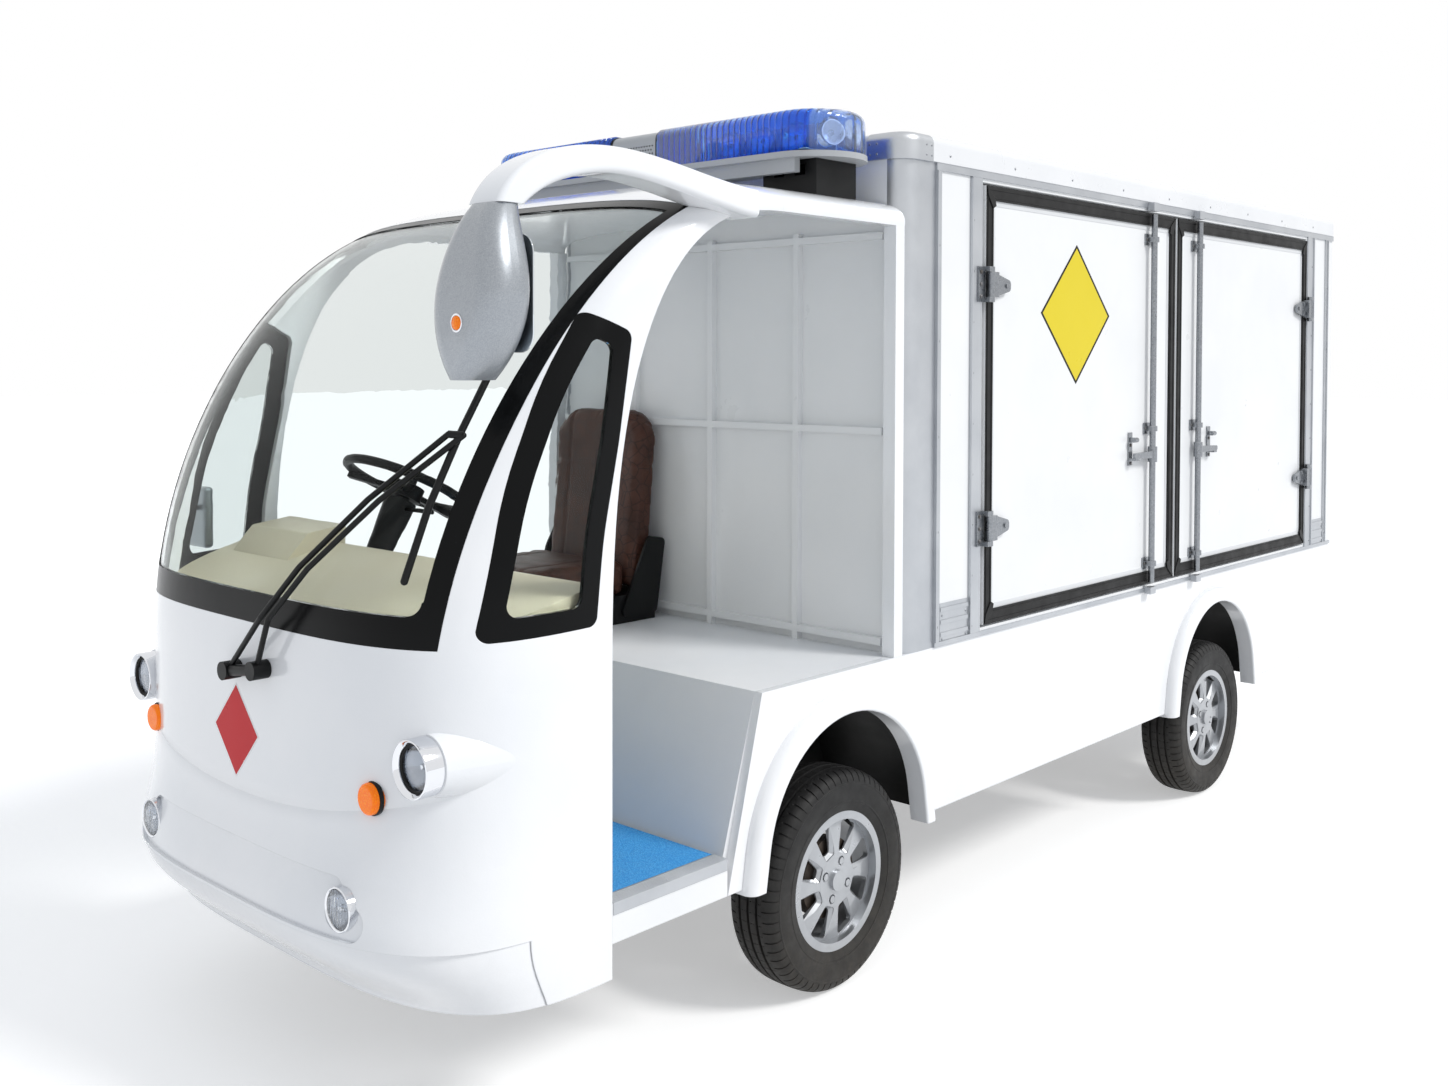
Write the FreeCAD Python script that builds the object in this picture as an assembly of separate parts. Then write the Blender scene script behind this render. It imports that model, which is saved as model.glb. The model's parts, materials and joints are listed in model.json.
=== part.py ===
import FreeCAD, Part
import math
import os

os.makedirs("parts", exist_ok=True)
V = FreeCAD.Vector

# Small electric ambulance with an open cab and a box body. Millimetres, front towards -Y,
# +X to the vehicle's left, +Z up, ground at zero, origin below the middle of the whole vehicle.
# Places along the vehicle are distances behind the front axle, which behind() turns into Y.

# Overall
LENGTH = 4910.0
BODY_WIDTH = 1444.0
FRONT_OVERHANG = 1350.0
WHEELBASE = 2290.0
HALF = BODY_WIDTH / 2
NOSE_Y = -LENGTH / 2
TAIL_Y = LENGTH / 2
FRONT_AXLE_Y = NOSE_Y + FRONT_OVERHANG
REAR_AXLE_Y = FRONT_AXLE_Y + WHEELBASE
AXLES = (("front", FRONT_AXLE_Y), ("rear", REAR_AXLE_Y))
SIDES = (("left", 1), ("right", -1))
BODY_GAP = 0.3
CLEAR = 1000.0

# Tyres: the wall is given as shares of half the width and of the height from flange to tread
TYRE_DIAMETER = 578.0
TYRE_WIDTH = 155.0
TYRE_WALL = ((0.955, 0.22), (1.0, 0.5), (0.97, 0.75), (0.86, 0.89), (0.68, 0.965), (0.4, 0.993), (0.0, 1.0))
TYRE_RADIUS = TYRE_DIAMETER / 2
AXLE_Z = TYRE_RADIUS
WHEEL_X = HALF - TYRE_WIDTH / 2

# Rims
BEAD_DIAMETER = 336.0
RIM_DIAMETER = 362.0
RIM_WIDTH = 134.0
RIM_WALL = 8.0
RIM_LIP = 10.0
SPOKES = 8
DISC_FACE = ((66.0, 57.0), (112.0, 52.0), (162.0, 43.0))
DISC_THICKNESS = 15.0
WINDOW_FOOT = 76.0
WINDOW_FOOT_HALF = 12.0
WINDOW_TOP = 152.0
WINDOW_TOP_HALF = 33.0
WINDOW_SWIRL = 9.0
WINDOW_BEVEL = 7.0
WINDOW_CORNER = 9.0
HUB_RADIUS = 68.0
HUB_FACE = 57.0
HUB_CAP_RADIUS = 27.0
HUB_CAP_HEIGHT = 9.0
LUG_NUTS = 4
LUG_CIRCLE = 100.0
LUG_RADIUS = 9.0
LUG_HEIGHT = 9.0
LUG_POCKET = 12.5
LUG_DEPTH = 7.0
DRUM_RADIUS = 105.0
DRUM_WIDTH = 34.0
DRUM_INSIDE = 5.0
BORE_START = 17.0
BORE_END = 40.0
SPINDLE_RADIUS = 16.0
RUNNING_GAP = 0.05

# Steering and axles
KINGPIN_X = 560.0
KINGPIN_RADIUS = 10.0
KNUCKLE_HEIGHT = 96.0
EYE_RADIUS = 24.0
EYE_HEIGHT = 46.0
EYE_WALL = 3.0
YOKE_WEB = 12.0
YOKE_WIDTH = 52.0
LINK_WIDTH = 40.0
STEER_ARM_WIDTH = 28.0
STEER_ARM_LENGTH = 110.0
BEAM_WIDTH = 54.0
AXLE_TUBE_RADIUS = 36.0
AXLE_END_GAP = 16.0
DIFF_RADIUS = 112.0
DIFF_FACE = 60.0
DIFF_HALF = 130.0
MOTOR_RADIUS = 105.0
MOTOR_LENGTH = 300.0
MOTOR_SUNK = 30.0

# Leaf springs
SPRING_WIDTH = 58.0
SPRING_PACK = 27.0
SPRING_SPAN = 560.0
SPRING_RISE = 62.0
SPRING_SEAT = 2.0
SPRING_PAD = 100.0
HANGER_LENGTH = 28.0

# Chassis rails
RAIL_X = 330.0
RAIL_WIDTH = 60.0
RAIL_HEIGHT = 100.0
RAIL_LOW_Z = 320.0
RAIL_HIGH_Z = 440.0
RAIL_FRONT = -1180.0
RAIL_KICK = (-420.0, -295.0)
RAIL_REAR = 3440.0
LOW_MEMBERS = (-1150.0, -680.0)
HIGH_MEMBERS = (330.0, 1700.0, 2750.0, 3360.0)
CROSS_MEMBER = 60.0
BEARERS = (450.0, 1600.0, 2810.0, 3380.0)
BEARER_WIDTH = 50.0
BEARER_HEIGHT = 40.0
STANCHION_INSET = 5.0
BUMPER_HEIGHT = 110.0
BUMPER_DEPTH = 30.0
BUMPER_INSET = 60.0
BUMPER_LIFT = 20.0
BATTERY_LENGTH = 980.0
BATTERY_HEIGHT = 290.0
BATTERY_START = 560.0

# Lower body sides
SKIRT_BOTTOM = 378.0
DECK_Z = 844.0
SKIRT_WALL = 24.0
SKIRT_FRONT_TOP = -324.0
SKIRT_FRONT_BOTTOM = -446.0
ARCH_FOOT_HALF = 346.0
ARCH_FOOT_Z = 338.0
ARCH_TOP_Z = 740.0
ARCH_RADIUS = 330.0
FLARE_STAND = 35.0
FLARE_BAND = 56.0
FLARE_DROP = 12.0
FLARE_OUTER_ROUND = 29.0
FLARE_INNER_ROUND = 7.0
LINER_WALL = 5.0
LINER_INNER_X = 392.0
LINER_BOTTOM = 408.0

# Canopy: every section is a superellipse that hangs between the front line and the doorway line
CANOPY_Y = FRONT_AXLE_Y - 250.0
CANOPY_Z = 1000.0
FRONT_REACH = 1055.0
FRONT_RISE = 1115.0
FRONT_POWER = 1.85
DOORWAY_REACH = 570.0
DOORWAY_RISE = 1022.0
DOORWAY_POWER = 2.5
SECTION_POWER = 3.5
SECTION_STEPS = 16
NOSE_SECTIONS = 8
CANOPY_SECTIONS = 10
SCREEN_SECTIONS = 8
STEP_SECTIONS = 2
SHELL = 30.0

# Nose below the canopy
NOSE_BOTTOM = 300.0
BUMPER_Z = 450.0
BUMPER_REACH = FRONT_OVERHANG - 250.0 - FRONT_REACH
BUMPER_FADE = 130.0
NOSE_TUCK = 105.0
NOSE_STEP = 9.0
NOSE_STEP_HALF = 712.0
NOSE_POCKET = ((402.0, 578.0), (-402.0, 578.0), (-560.0, 458.0), (560.0, 458.0))
POCKET_CORNER = 34.0

# Windscreen and quarter windows
SCREEN_LOW = 0.058
SCREEN_HIGH = 0.94
SCREEN_HALF = 606.0
SCREEN_FLARE = 105.0
GLASS_BORDER = 42.0
GLASS_FOOT = 66.0
GLASS_TOP = 19.0
GLASS_CORNER = 30.0
GLASS_THICKNESS = 6.0
GLASS_SUNK = 4.0
FRAME_SUNK = 1.0
FRAME_DEPTH = 12.0
QUARTER_FRONT = ((-1150.0, 1076.0), (-1078.0, 1388.0), (-980.0, 1610.0), (-872.0, 1764.0))
QUARTER_REAR = ((-762.0, 1716.0), (-800.0, 1480.0), (-846.0, 1270.0), (-866.0, 1084.0))
GLASS_SHARES = (0.03, 0.97)
QUARTER_CORNER = 24.0
QUARTER_BEND = 900.0
QUARTER_BORDER = 46.0

# Lamps (x, distance behind the front axle, z)
HEADLAMP = (600.0, -1262.0, 832.0)
HEADLAMP_RADIUS = 61.0
HEADLAMP_INNER = 50.0
HEADLAMP_DEPTH = 62.0
HEADLAMP_LENS_SUNK = 20.0
POD_RINGS = ((46.0, 1.0, 64.0), (110.0, 7.0, 76.0), (210.0, 24.0, 80.0), (330.0, 46.0, 66.0))
FOG_LAMP = (423.0, -1318.0, 517.0)
FOG_RADIUS = 47.0
FOG_RIM = 5.0
FOG_LENGTH = 50.0
FOG_LENS_SUNK = 2.0
SIGNAL = (479.0, -1276.0, 751.0)
SIGNAL_RADIUS = 33.0
SIGNAL_LENGTH = 34.0
SIGNAL_DOME = 9.0
TAIL_LAMP = (620.0, 90.0)
TAIL_LAMP_WIDTH = 120.0
TAIL_LAMP_DEPTH = 26.0
TAIL_LAMP_Z = (600.0, 700.0)

# Cab floor and seat platform
FLOOR_TOP = 462.0
FLOOR_THICKNESS = 22.0
MAT_THICKNESS = 5.0
MAT_GAP = 1.0
THRESHOLD = 34.0
TOE_HALF = 560.0
TOE_FRONT = -1030.0
PLATFORM_WALL = 20.0
PLATFORM_LIFT = 62.0

# Seat, on the vehicle's right
SEAT_X = (-620.0, -180.0)
SEAT_FRONT = -270.0
SEAT_REAR = 195.0
SEAT_BASE_HEIGHT = 86.0
CUSHION_HEIGHT = 100.0
CUSHION_OVERHANG = 20.0
CUSHION_CORNER = 45.0
BACKREST_START = 105.0
BACKREST_TOP = 670.0
BACKREST_LEAN = 64.0
BACKREST_FOOT = 70.0
BACKREST_HEAD = 66.0
BACKREST_SHOULDER = 120.0
RECLINER_THICKNESS = 9.0
RECLINER = ((40.0, 20.0), (195.0, 20.0), (232.0, 250.0), (160.0, 262.0))
RECLINER_CORNER = 18.0

# Dashboard outlines (distance behind the front axle, z)
DASH = ((-1190.0, 900.0), (-1190.0, 1084.0), (-850.0, 1166.0), (-800.0, 1158.0), (-806.0, 1070.0),
        (-836.0, 800.0), (-930.0, 720.0))
DASH_CORNER = 12.0
HUMP = ((-1010.0, 1110.0), (-930.0, 1198.0), (-806.0, 1214.0), (-796.0, 1120.0))
HUMP_X = (-620.0, -336.0)
HUMP_CORNER = 14.0

# Steering wheel and column
STEER_HUB = (-380.0, -590.0, 1300.0)
STEER_TILT = 28.0
STEER_RADIUS = 190.0
STEER_GRIP = 13.0
STEER_PAD_RADIUS = 52.0
STEER_PAD_DEPTH = 40.0
STEER_SPOKES = (90, 210, 330)
STEER_SPOKE_WIDTH = 22.0
STEER_SPOKE_LOW = 26.0
STEER_SPOKE_HIGH = 10.0
COLUMN_RADIUS = 22.0
COLUMN_LENGTH = 350.0
SHROUD_START = 48.0
SHROUD_LENGTH = 170.0
SHROUD_RADII = (46.0, 34.0)
STALK_DROP = 70.0
STALK_LENGTH = 165.0
STALK_RADIUS = 6.0
COLUMN_FOOT = (-860.0, -690.0, 930.0, 980.0)
COLUMN_FOOT_HALF = 26.0

# Wiper: caps on the nose, arms and blade over the screen (x, share of the canopy's rise)
WIPER_CAPS = ((0.0, 954.0), (124.0, 972.0))
WIPER_CAP_RADIUS = 21.0
WIPER_CAP_STAND = 42.0
WIPER_BAR = 26.0
WIPER_ARMS = ((178.0, 0.085), (294.0, 0.19), (455.0, 0.325), (593.0, 0.452))
WIPER_ARM_RADIUS = 6.5
WIPER_ARM_SPREAD = 15.0
WIPER_ARM_OUT = 42.0
WIPER_BLADE = ((556.0, 0.185), (572.0, 0.32), (586.0, 0.45), (592.0, 0.555))
WIPER_BLADE_RADIUS = 8.0
WIPER_BLADE_OUT = 24.0

# Mirror arm (distance behind the front axle, z) and its head, as rounded sections by height
ARM_TOP = ((-400.0, 2060.0), (-550.0, 2075.0), (-720.0, 2100.0), (-880.0, 2108.0), (-1000.0, 2090.0),
           (-1100.0, 2046.0), (-1168.0, 1965.3))
ARM_BOTTOM = ((-1098.0, 1965.3), (-1050.0, 2000.0), (-960.0, 2035.0), (-870.0, 2050.0), (-750.0, 2045.0),
              (-600.0, 2022.0), (-400.0, 1992.0))
ARM_X = (667.0, 775.0)
ARM_ROUND = 15.0
HEAD_SECTIONS = ((1965.0, 680.0, 772.0, -1176.0, -1104.0), (1925.0, 668.0, 796.0, -1205.0, -1112.0),
                 (1865.0, 646.0, 822.0, -1226.0, -1115.0), (1785.0, 624.0, 835.0, -1236.0, -1115.0),
                 (1700.0, 626.0, 808.0, -1236.0, -1115.0), (1645.0, 644.0, 764.0, -1230.0, -1118.0),
                 (1615.0, 664.0, 728.0, -1218.0, -1128.0))
HEAD_CORNER = 0.42
SMALL_MIRROR_X = (-835.0, -722.0)
SMALL_MIRROR_Y = (-1022.0, -990.0)
SMALL_MIRROR_Z = (1130.0, 1300.0)
SMALL_MIRROR_ROUND = 12.0
SMALL_STEM = ((-640.0, -1140.0, 1250.0), (-785.0, -1008.0, 1240.0))
SMALL_STEM_RADIUS = 8.0

# Beacon bar (distances behind the front axle)
BAR_Y = (-75.0, 205.0)
BAR_Z = (2203.3, 2316.0)
BAR_HALF = 700.0
BAR_ROUND = 30.0
SPEAKER_HALF = 100.0
SPEAKER_INSET = 5.0
CHANNEL_Z = (2187.0, 2203.0)
CHANNEL_GROW = 6.0
STRIP_Y = (-62.0, -40.0)
STRIP_Z = (2150.0, 2187.5)
STRIP_HALF = 600.0
BAR_FEET = (455.0, 640.0)
BAR_FOOT_Y = (-20.0, 150.0)
BAR_FOOT_BOTTOM = 2060.0
BAR_FOOT_WINDOW = 36.0
BAR_FOOT_SILL = 2146.0

# Cab rear wall
CAB_WALL = 262.0
CAB_POST = 40.0
BATTEN = 20.0
BATTEN_X = (352.0, 10.0, -328.0)
BATTEN_RAIL_Z = (866.0, 1450.0, 1990.0)

# Box body
BOX_FRONT = 300.0
BOX_REAR = TAIL_Y - BUMPER_DEPTH - FRONT_AXLE_Y
BOX_WALL = 38.0
BOX_TOP = 2285.0
RAIL_BOTTOM = 2212.0
CAP_STAND = 9.0
CAP_ROUND = 24.0
POST_RADIUS = 60.0
POST_END = 410.0
DOORWAY = (655.0, 3218.0)
DOORWAY_BOTTOM = 866.0
DOORWAY_TOP = 2180.0
LOAD_FLOOR = 30.0
LOAD_FLOOR_LIFT = 12.0
VALANCE_LIFT = 145.0
FRAME_STAND = 6.0
FRAME_STRIPS = ((410.0, 433.0, 410.0), (588.0, 645.0, 588.0),
                (3228.0, 3296.0, 3289.0), (3440.0, 3466.0, 3459.0))
FRAME_RIDGE = 7.0
FRAME_RIDGE_STAND = 10.0
LINTEL_BOTTOM = 2190.0
SILL_TOP = 858.0
KICK_PANELS = ((440.0, 582.0), (3302.0, 3434.0))
KICK_TOP = 965.0
KICK_RIBS = 3
KICK_RIB = 12.0
KEEPER_WIDTH = 40.0
KEEPER_STAND = 30.0
KEEPER_TOP = (2179.0, 2209.0)
KEEPER_BOTTOM = (839.0, 863.0)

# Side doors
DOOR_GAP = 8.0
DOOR_MEET = 14.0
SEAL_STAND = 7.0
SEAL_WIDTH = 42.0
HINGE_OUT = 24.0
HINGE_RADIUS = 10.0
HINGE_HEIGHT = 74.0
HINGE_Z = (1162.0, 1880.0)
HINGE_PIN = 5.0
HINGE_END = 15.0
HINGE_PLATE = 5.0
HINGE_REACH = 48.0
HINGE_INSET = 4.0
HINGE_EDGE = 12.0
HINGE_WEB = 10.0
HINGE_WEB_OUT = 8.0
TONGUE_LENGTH = 122.0
TONGUE_KNUCKLE = 30.0
TONGUE_NOSE = 15.0
TONGUE_THICKNESS = 9.0
TONGUE_BOLTS = ((52.0, 20.0), (52.0, -20.0), (100.0, 0.0))
BOLT_RADIUS = 8.0
BOLT_STAND = 4.0
ROD_OFFSET = 200.0
ROD_OFFSET_REAR = 160.0
ROD_RADIUS = 10.5
ROD_OUT = 22.0
ROD_END_GAP = 4.0
GUIDE_Z = (946.0, 1420.0, 2080.0)
GUIDE_LENGTH = 64.0
GUIDE_HEIGHT = 40.0
GUIDE_STAND = 6.0
COLLAR_RADIUS = 16.0
COLLAR_HEIGHT = 18.0
LEVER_Z = 1330.0
LEVER_LENGTH = 150.0
LEVER_HEIGHT = 26.0
LEVER_THICKNESS = 10.0
LEVER_HUB_HEIGHT = 54.0
RETAINER_OFFSET = 132.0
RETAINER_WIDTH = 26.0
RETAINER_Z = (1296.0, 1410.0)
RETAINER_PLATE = 5.0
HOOK_HEIGHT = 34.0


def behind(distance):
    """Y of a place that lies a distance behind the front axle."""
    return FRONT_AXLE_Y + distance


def box(x0, x1, y0, y1, z0, z1):
    """Block between two corners, given in any order along X and Y."""
    corner = V(min(x0, x1), min(y0, y1), z0)
    return Part.makeBox(abs(x1 - x0), abs(y1 - y0), z1 - z0, corner)


def cylinder(centre, axis, radius, length):
    """Cylinder that starts at a centre and runs along an axis."""
    return Part.makeCylinder(radius, length, V(*centre), V(*axis))


def cylinder_between(start, end, radius):
    """Round bar from one point to another."""
    run = V(*end).sub(V(*start))
    return Part.makeCylinder(radius, run.Length, V(*start), run)


def corner_cut(before, corner, after, radius):
    """Start, middle and end of the arc that rounds one corner."""
    back = before.sub(corner).normalize()
    ahead = after.sub(corner).normalize()
    half_angle = back.getAngle(ahead) / 2
    run = radius / math.tan(half_angle)
    inward = back.add(ahead).normalize().multiply(radius / math.sin(half_angle) - radius)
    return corner.add(V(back).multiply(run)), corner.add(inward), corner.add(V(ahead).multiply(run))


def rounded_wire(points, radii):
    """Closed wire through points, with each corner rounded by its own radius."""
    count = len(points)
    arcs = []
    for index, radius in enumerate(radii):
        corner = points[index]
        if radius == 0:
            arcs.append((corner, None, corner))
        else:
            arcs.append(corner_cut(points[index - 1], corner, points[(index + 1) % count], radius))
    edges = []
    for index, (start, middle, end) in enumerate(arcs):
        if middle is not None:
            edges.append(Part.Arc(start, middle, end).toShape())
        edges.append(Part.makeLine(end, arcs[(index + 1) % count][0]))
    return Part.Wire(edges)


def plate(points, way, radii=0.0):
    """Plate from a flat outline, pushed along a way, with one radius or a list of them."""
    if not isinstance(radii, (list, tuple)):
        radii = [radii] * len(points)
    return Part.Face(rounded_wire(points, radii)).extrude(way)


def side_plate(outline, x0, x1, radii=0.0):
    """Plate with a (y, z) outline between x0 and x1."""
    return plate([V(x0, y, z) for y, z in outline], V(x1 - x0, 0, 0), radii)


def front_plate(outline, y0, y1, radii=0.0):
    """Plate with an (x, z) outline between y0 and y1."""
    return plate([V(x, y0, z) for x, z in outline], V(0, y1 - y0, 0), radii)


def plan_plate(outline, z0, z1, radii=0.0):
    """Plate with an (x, y) outline between z0 and z1."""
    return plate([V(x, y, z0) for x, y in outline], V(0, 0, z1 - z0), radii)


def rectangle(x0, x1, y0, y1):
    """Corners of a rectangle in plan."""
    return [(x0, y0), (x1, y0), (x1, y1), (x0, y1)]


def join(shapes):
    """One solid from shapes that meet."""
    result = shapes[0].fuse(shapes[1:]) if len(shapes) > 1 else shapes[0]
    clean = result.removeSplitter()
    return clean if clean.isValid() and clean.Volume > 0 else result


def revolve(profile):
    """Solid turned about the X axis from an (x, radius) outline."""
    points = [V(x, 0, radius) for x, radius in profile]
    return Part.Face(Part.makePolygon(points + points[:1])).revolve(V(0, 0, 0), V(1, 0, 0), 360)


def outer_edges(shape, x):
    """Edges that lie wholly in the plane at x."""
    return [edge for edge in shape.Edges if all(abs(vertex.X - x) < 0.01 for vertex in edge.Vertexes)]


def save(name, *shapes):
    """One file for one named piece."""
    solids = [solid for shape in shapes for solid in shape.Solids]
    whole = solids[0] if len(solids) == 1 else Part.makeCompound(solids)
    whole.exportStep("parts/" + name + ".step")


def front_line(share):
    """Point (y, z) of the windscreen's centre line at a share of its rise."""
    reach = FRONT_REACH * (1 - share ** FRONT_POWER) ** (1 / FRONT_POWER)
    return CANOPY_Y - reach, CANOPY_Z + FRONT_RISE * share


def doorway_line(share):
    """Point (y, z) of the doorway's edge at a share of its rise."""
    reach = DOORWAY_REACH * (1 - share ** DOORWAY_POWER) ** (1 / DOORWAY_POWER)
    return CANOPY_Y - reach, CANOPY_Z + DOORWAY_RISE * share


def section_curve(front, edge, inset, limit):
    """Curve of one section, kept within a limit across the vehicle."""
    half = HALF - inset
    depth = math.hypot(front[0] - edge[0], front[1] - edge[1]) - inset
    way = V(0, front[0] - edge[0], front[1] - edge[1]).normalize()
    start = math.acos((min(limit, half) / half) ** (SECTION_POWER / 2))
    points = []
    for step in range(SECTION_STEPS + 1):
        angle = start + (math.pi - 2 * start) * step / SECTION_STEPS
        across = math.copysign(abs(math.cos(angle)) ** (2 / SECTION_POWER), math.cos(angle))
        at_end = start == 0 and step in (0, SECTION_STEPS)
        out = 0.0 if at_end else math.sin(angle) ** (2 / SECTION_POWER)
        points.append(V(half * across, edge[0], edge[1]).add(V(way).multiply(depth * out)))
    curve = Part.BSplineCurve()
    curve.interpolate(points)
    return curve.toShape()


def curve_ends(curve):
    """First and last point of a curve."""
    return curve.valueAt(curve.FirstParameter), curve.valueAt(curve.LastParameter)


def section_band(station, outer, inner, limit):
    """Closed wire between two insets of one section."""
    outside = section_curve(*station, outer, limit)
    inside = section_curve(*station, inner, limit)
    first_out, last_out = curve_ends(outside)
    first_in, last_in = curve_ends(inside)
    return Part.Wire([outside, Part.makeLine(last_out, last_in), inside, Part.makeLine(first_in, first_out)])


def section_face(station, inset):
    """Closed wire round everything behind one section."""
    curve = section_curve(*station, inset, HALF)
    first, last = curve_ends(curve)
    return Part.Wire([curve, Part.makeLine(last, first)])


def canopy_stations(low, high, count):
    """Pairs of front and doorway points, closer together where the roof turns flat."""
    first, last = math.asin(low), math.asin(high)
    shares = [math.sin(first + (last - first) * step / count) for step in range(count + 1)]
    return [(front_line(share), doorway_line(share)) for share in shares]


def nose_reach(z):
    """How far the nose stands before the canopy's centre: a bumper crease that fades out upwards."""
    if z >= BUMPER_Z:
        return FRONT_REACH + BUMPER_REACH * math.exp(-((z - BUMPER_Z) / BUMPER_FADE) ** 2)
    return FRONT_REACH + BUMPER_REACH - NOSE_TUCK * ((BUMPER_Z - z) / (BUMPER_Z - NOSE_BOTTOM)) ** 1.7


def nose_stations(count):
    """Pairs of front and doorway points from the nose's hem up to the canopy."""
    doorway = CANOPY_Y - DOORWAY_REACH
    heights = [NOSE_BOTTOM + (CANOPY_Z - NOSE_BOTTOM) * step / count for step in range(count)]
    return [((CANOPY_Y - nose_reach(z), z), (doorway, z)) for z in heights]


def roof_stations():
    """The last section of the canopy, carried back to the cab's rear wall."""
    return [((y, CANOPY_Z + FRONT_RISE), (y, CANOPY_Z + DOORWAY_RISE)) for y in (CANOPY_Y, behind(CAB_WALL))]


def all_stations():
    """Sections from the nose's hem to the crown of the canopy."""
    return nose_stations(NOSE_SECTIONS) + canopy_stations(0.0, 1.0, CANOPY_SECTIONS)


def loft_band(stations, outer, inner):
    """Skin between two insets through all sections, as wide as the vehicle."""
    return Part.makeLoft([section_band(station, outer, inner, HALF) for station in stations], True, False)


def loft_block(stations, inset):
    """Everything inside one inset of the surface through all sections."""
    return Part.makeLoft([section_face(station, inset) for station in stations], True, False)


def screen_half(z):
    """Half the windscreen's width at a height of its centre line."""
    return SCREEN_HALF + SCREEN_FLARE * (z - CANOPY_Z) / FRONT_RISE


def screen_block(low, high, border):
    """Block through the canopy with the windscreen's outline, less a border at its sides."""
    stations = canopy_stations(low, high, SCREEN_SECTIONS)
    sections = [section_band(station, -GLASS_BORDER, SHELL + GLASS_BORDER,
                             screen_half(station[0][1]) - border)
                for station in stations]
    return Part.makeLoft(sections, True, False)


def pane_block():
    """Block through the canopy with the clear pane's outline, its lower corners rounded."""
    low = SCREEN_LOW + GLASS_FOOT / FRONT_RISE
    block = screen_block(low, SCREEN_HIGH - GLASS_TOP / FRONT_RISE, GLASS_BORDER)
    foot_z = front_line(low)[1]
    corner_x = screen_half(foot_z) - GLASS_BORDER
    for name, side in SIDES:
        inside = side * (corner_x - GLASS_CORNER)
        corner = box(inside, side * (corner_x + GLASS_CORNER), NOSE_Y, CANOPY_Y,
                     foot_z - GLASS_CORNER, foot_z + GLASS_CORNER)
        round_bar = cylinder((inside, NOSE_Y, foot_z + GLASS_CORNER), (0, 1, 0), GLASS_CORNER,
                             CANOPY_Y - NOSE_Y)
        block = block.cut(corner.cut(round_bar))
    return block


def quarter_prism(grow, side):
    """Bar through the side of the cowl with the quarter window's outline, larger by grow all round."""
    points = [V(0, behind(y), z) for y, z in QUARTER_FRONT + QUARTER_REAR]
    wire = Part.makePolygon(points + points[:1])
    moved = wire.makeOffset2D(grow, 2) if grow else wire
    outline = [(vertex.Y, vertex.Z) for vertex in moved.OrderedVertexes]
    heights = [z for y, z in outline]
    bends = sorted(heights)[2:-2]
    radii = [QUARTER_BEND if z in bends else QUARTER_CORNER for z in heights]
    return side_plate(outline, side * HALF / 2, side * (HALF + SHELL), radii)


def canopy_point(x, share, out):
    """Point on the canopy at a place across and a share of its rise, moved out along the section."""
    front, edge = front_line(share), doorway_line(share)
    depth = math.hypot(front[0] - edge[0], front[1] - edge[1])
    way = V(0, front[0] - edge[0], front[1] - edge[1]).normalize()
    reach = depth * (1 - (abs(x) / HALF) ** SECTION_POWER) ** (1 / SECTION_POWER)
    return V(x, edge[0], edge[1]).add(way.multiply(reach + out))


def lamp_axis(place, side, radius, start, end):
    """Cylinder on a lamp's axis, between two distances behind its face."""
    x, y, z = place
    return cylinder((side * x, behind(y) + start, z), (0, 1, 0), radius, end - start)


def headlamp_pod(side):
    """Fairing that runs back from a headlamp into the side of the nose."""
    x, y, z = HEADLAMP
    rings = []
    for back, out, radius in POD_RINGS:
        centre = V(side * (x + out), behind(y) + back, z)
        rings.append(Part.Wire(Part.makeCircle(radius, centre, V(0, 1, 0))))
    return Part.makeLoft(rings, True, False)


def nose_recess(stepped):
    """What the lower lip and the pocket between the fog lamps take off the nose."""
    pocket = front_plate(NOSE_POCKET, NOSE_Y - CLEAR, CANOPY_Y - DOORWAY_REACH, POCKET_CORNER)
    hem = box(-NOSE_STEP_HALF, NOSE_STEP_HALF, NOSE_Y - CLEAR, CANOPY_Y - DOORWAY_REACH, 0, BUMPER_Z)
    return [shape.cut(stepped) for shape in (pocket, hem)]


def front_cowl(inner_block, opening, lights):
    """Moulded nose with headlamp pods, windscreen pillars and roof front in one skin."""
    cowl = loft_band(all_stations(), 0.0, SHELL)
    stations = nose_stations(NOSE_SECTIONS) + canopy_stations(0.0, SCREEN_LOW, STEP_SECTIONS)
    stepped = loft_block(stations, 0.0).translated(V(0, NOSE_STEP, 0))
    for recess in nose_recess(stepped):
        cowl = cowl.cut(recess)
    pods = [headlamp_pod(side).cut(inner_block) for name, side in SIDES]
    cowl = cowl.fuse(pods)
    cowl = cowl.cut(opening)
    for name, side in SIDES:
        cowl = cowl.cut(quarter_prism(0.0, side))
    cowl = cowl.cut(Part.makeCompound(lights))
    save("front_cowl", cowl)
    return cowl


def cab_roof():
    """Roof skin over the doorways, back to the box, on two rear posts."""
    roof = loft_band(roof_stations(), 0.0, SHELL)
    rear = behind(CAB_WALL)
    eaves = CANOPY_Z + DOORWAY_RISE
    posts = [box(side * (HALF - CAB_POST), side * HALF, rear - CAB_POST, rear, DECK_Z, eaves)
             for name, side in SIDES]
    save("cab_roof", join([roof] + posts))


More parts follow.
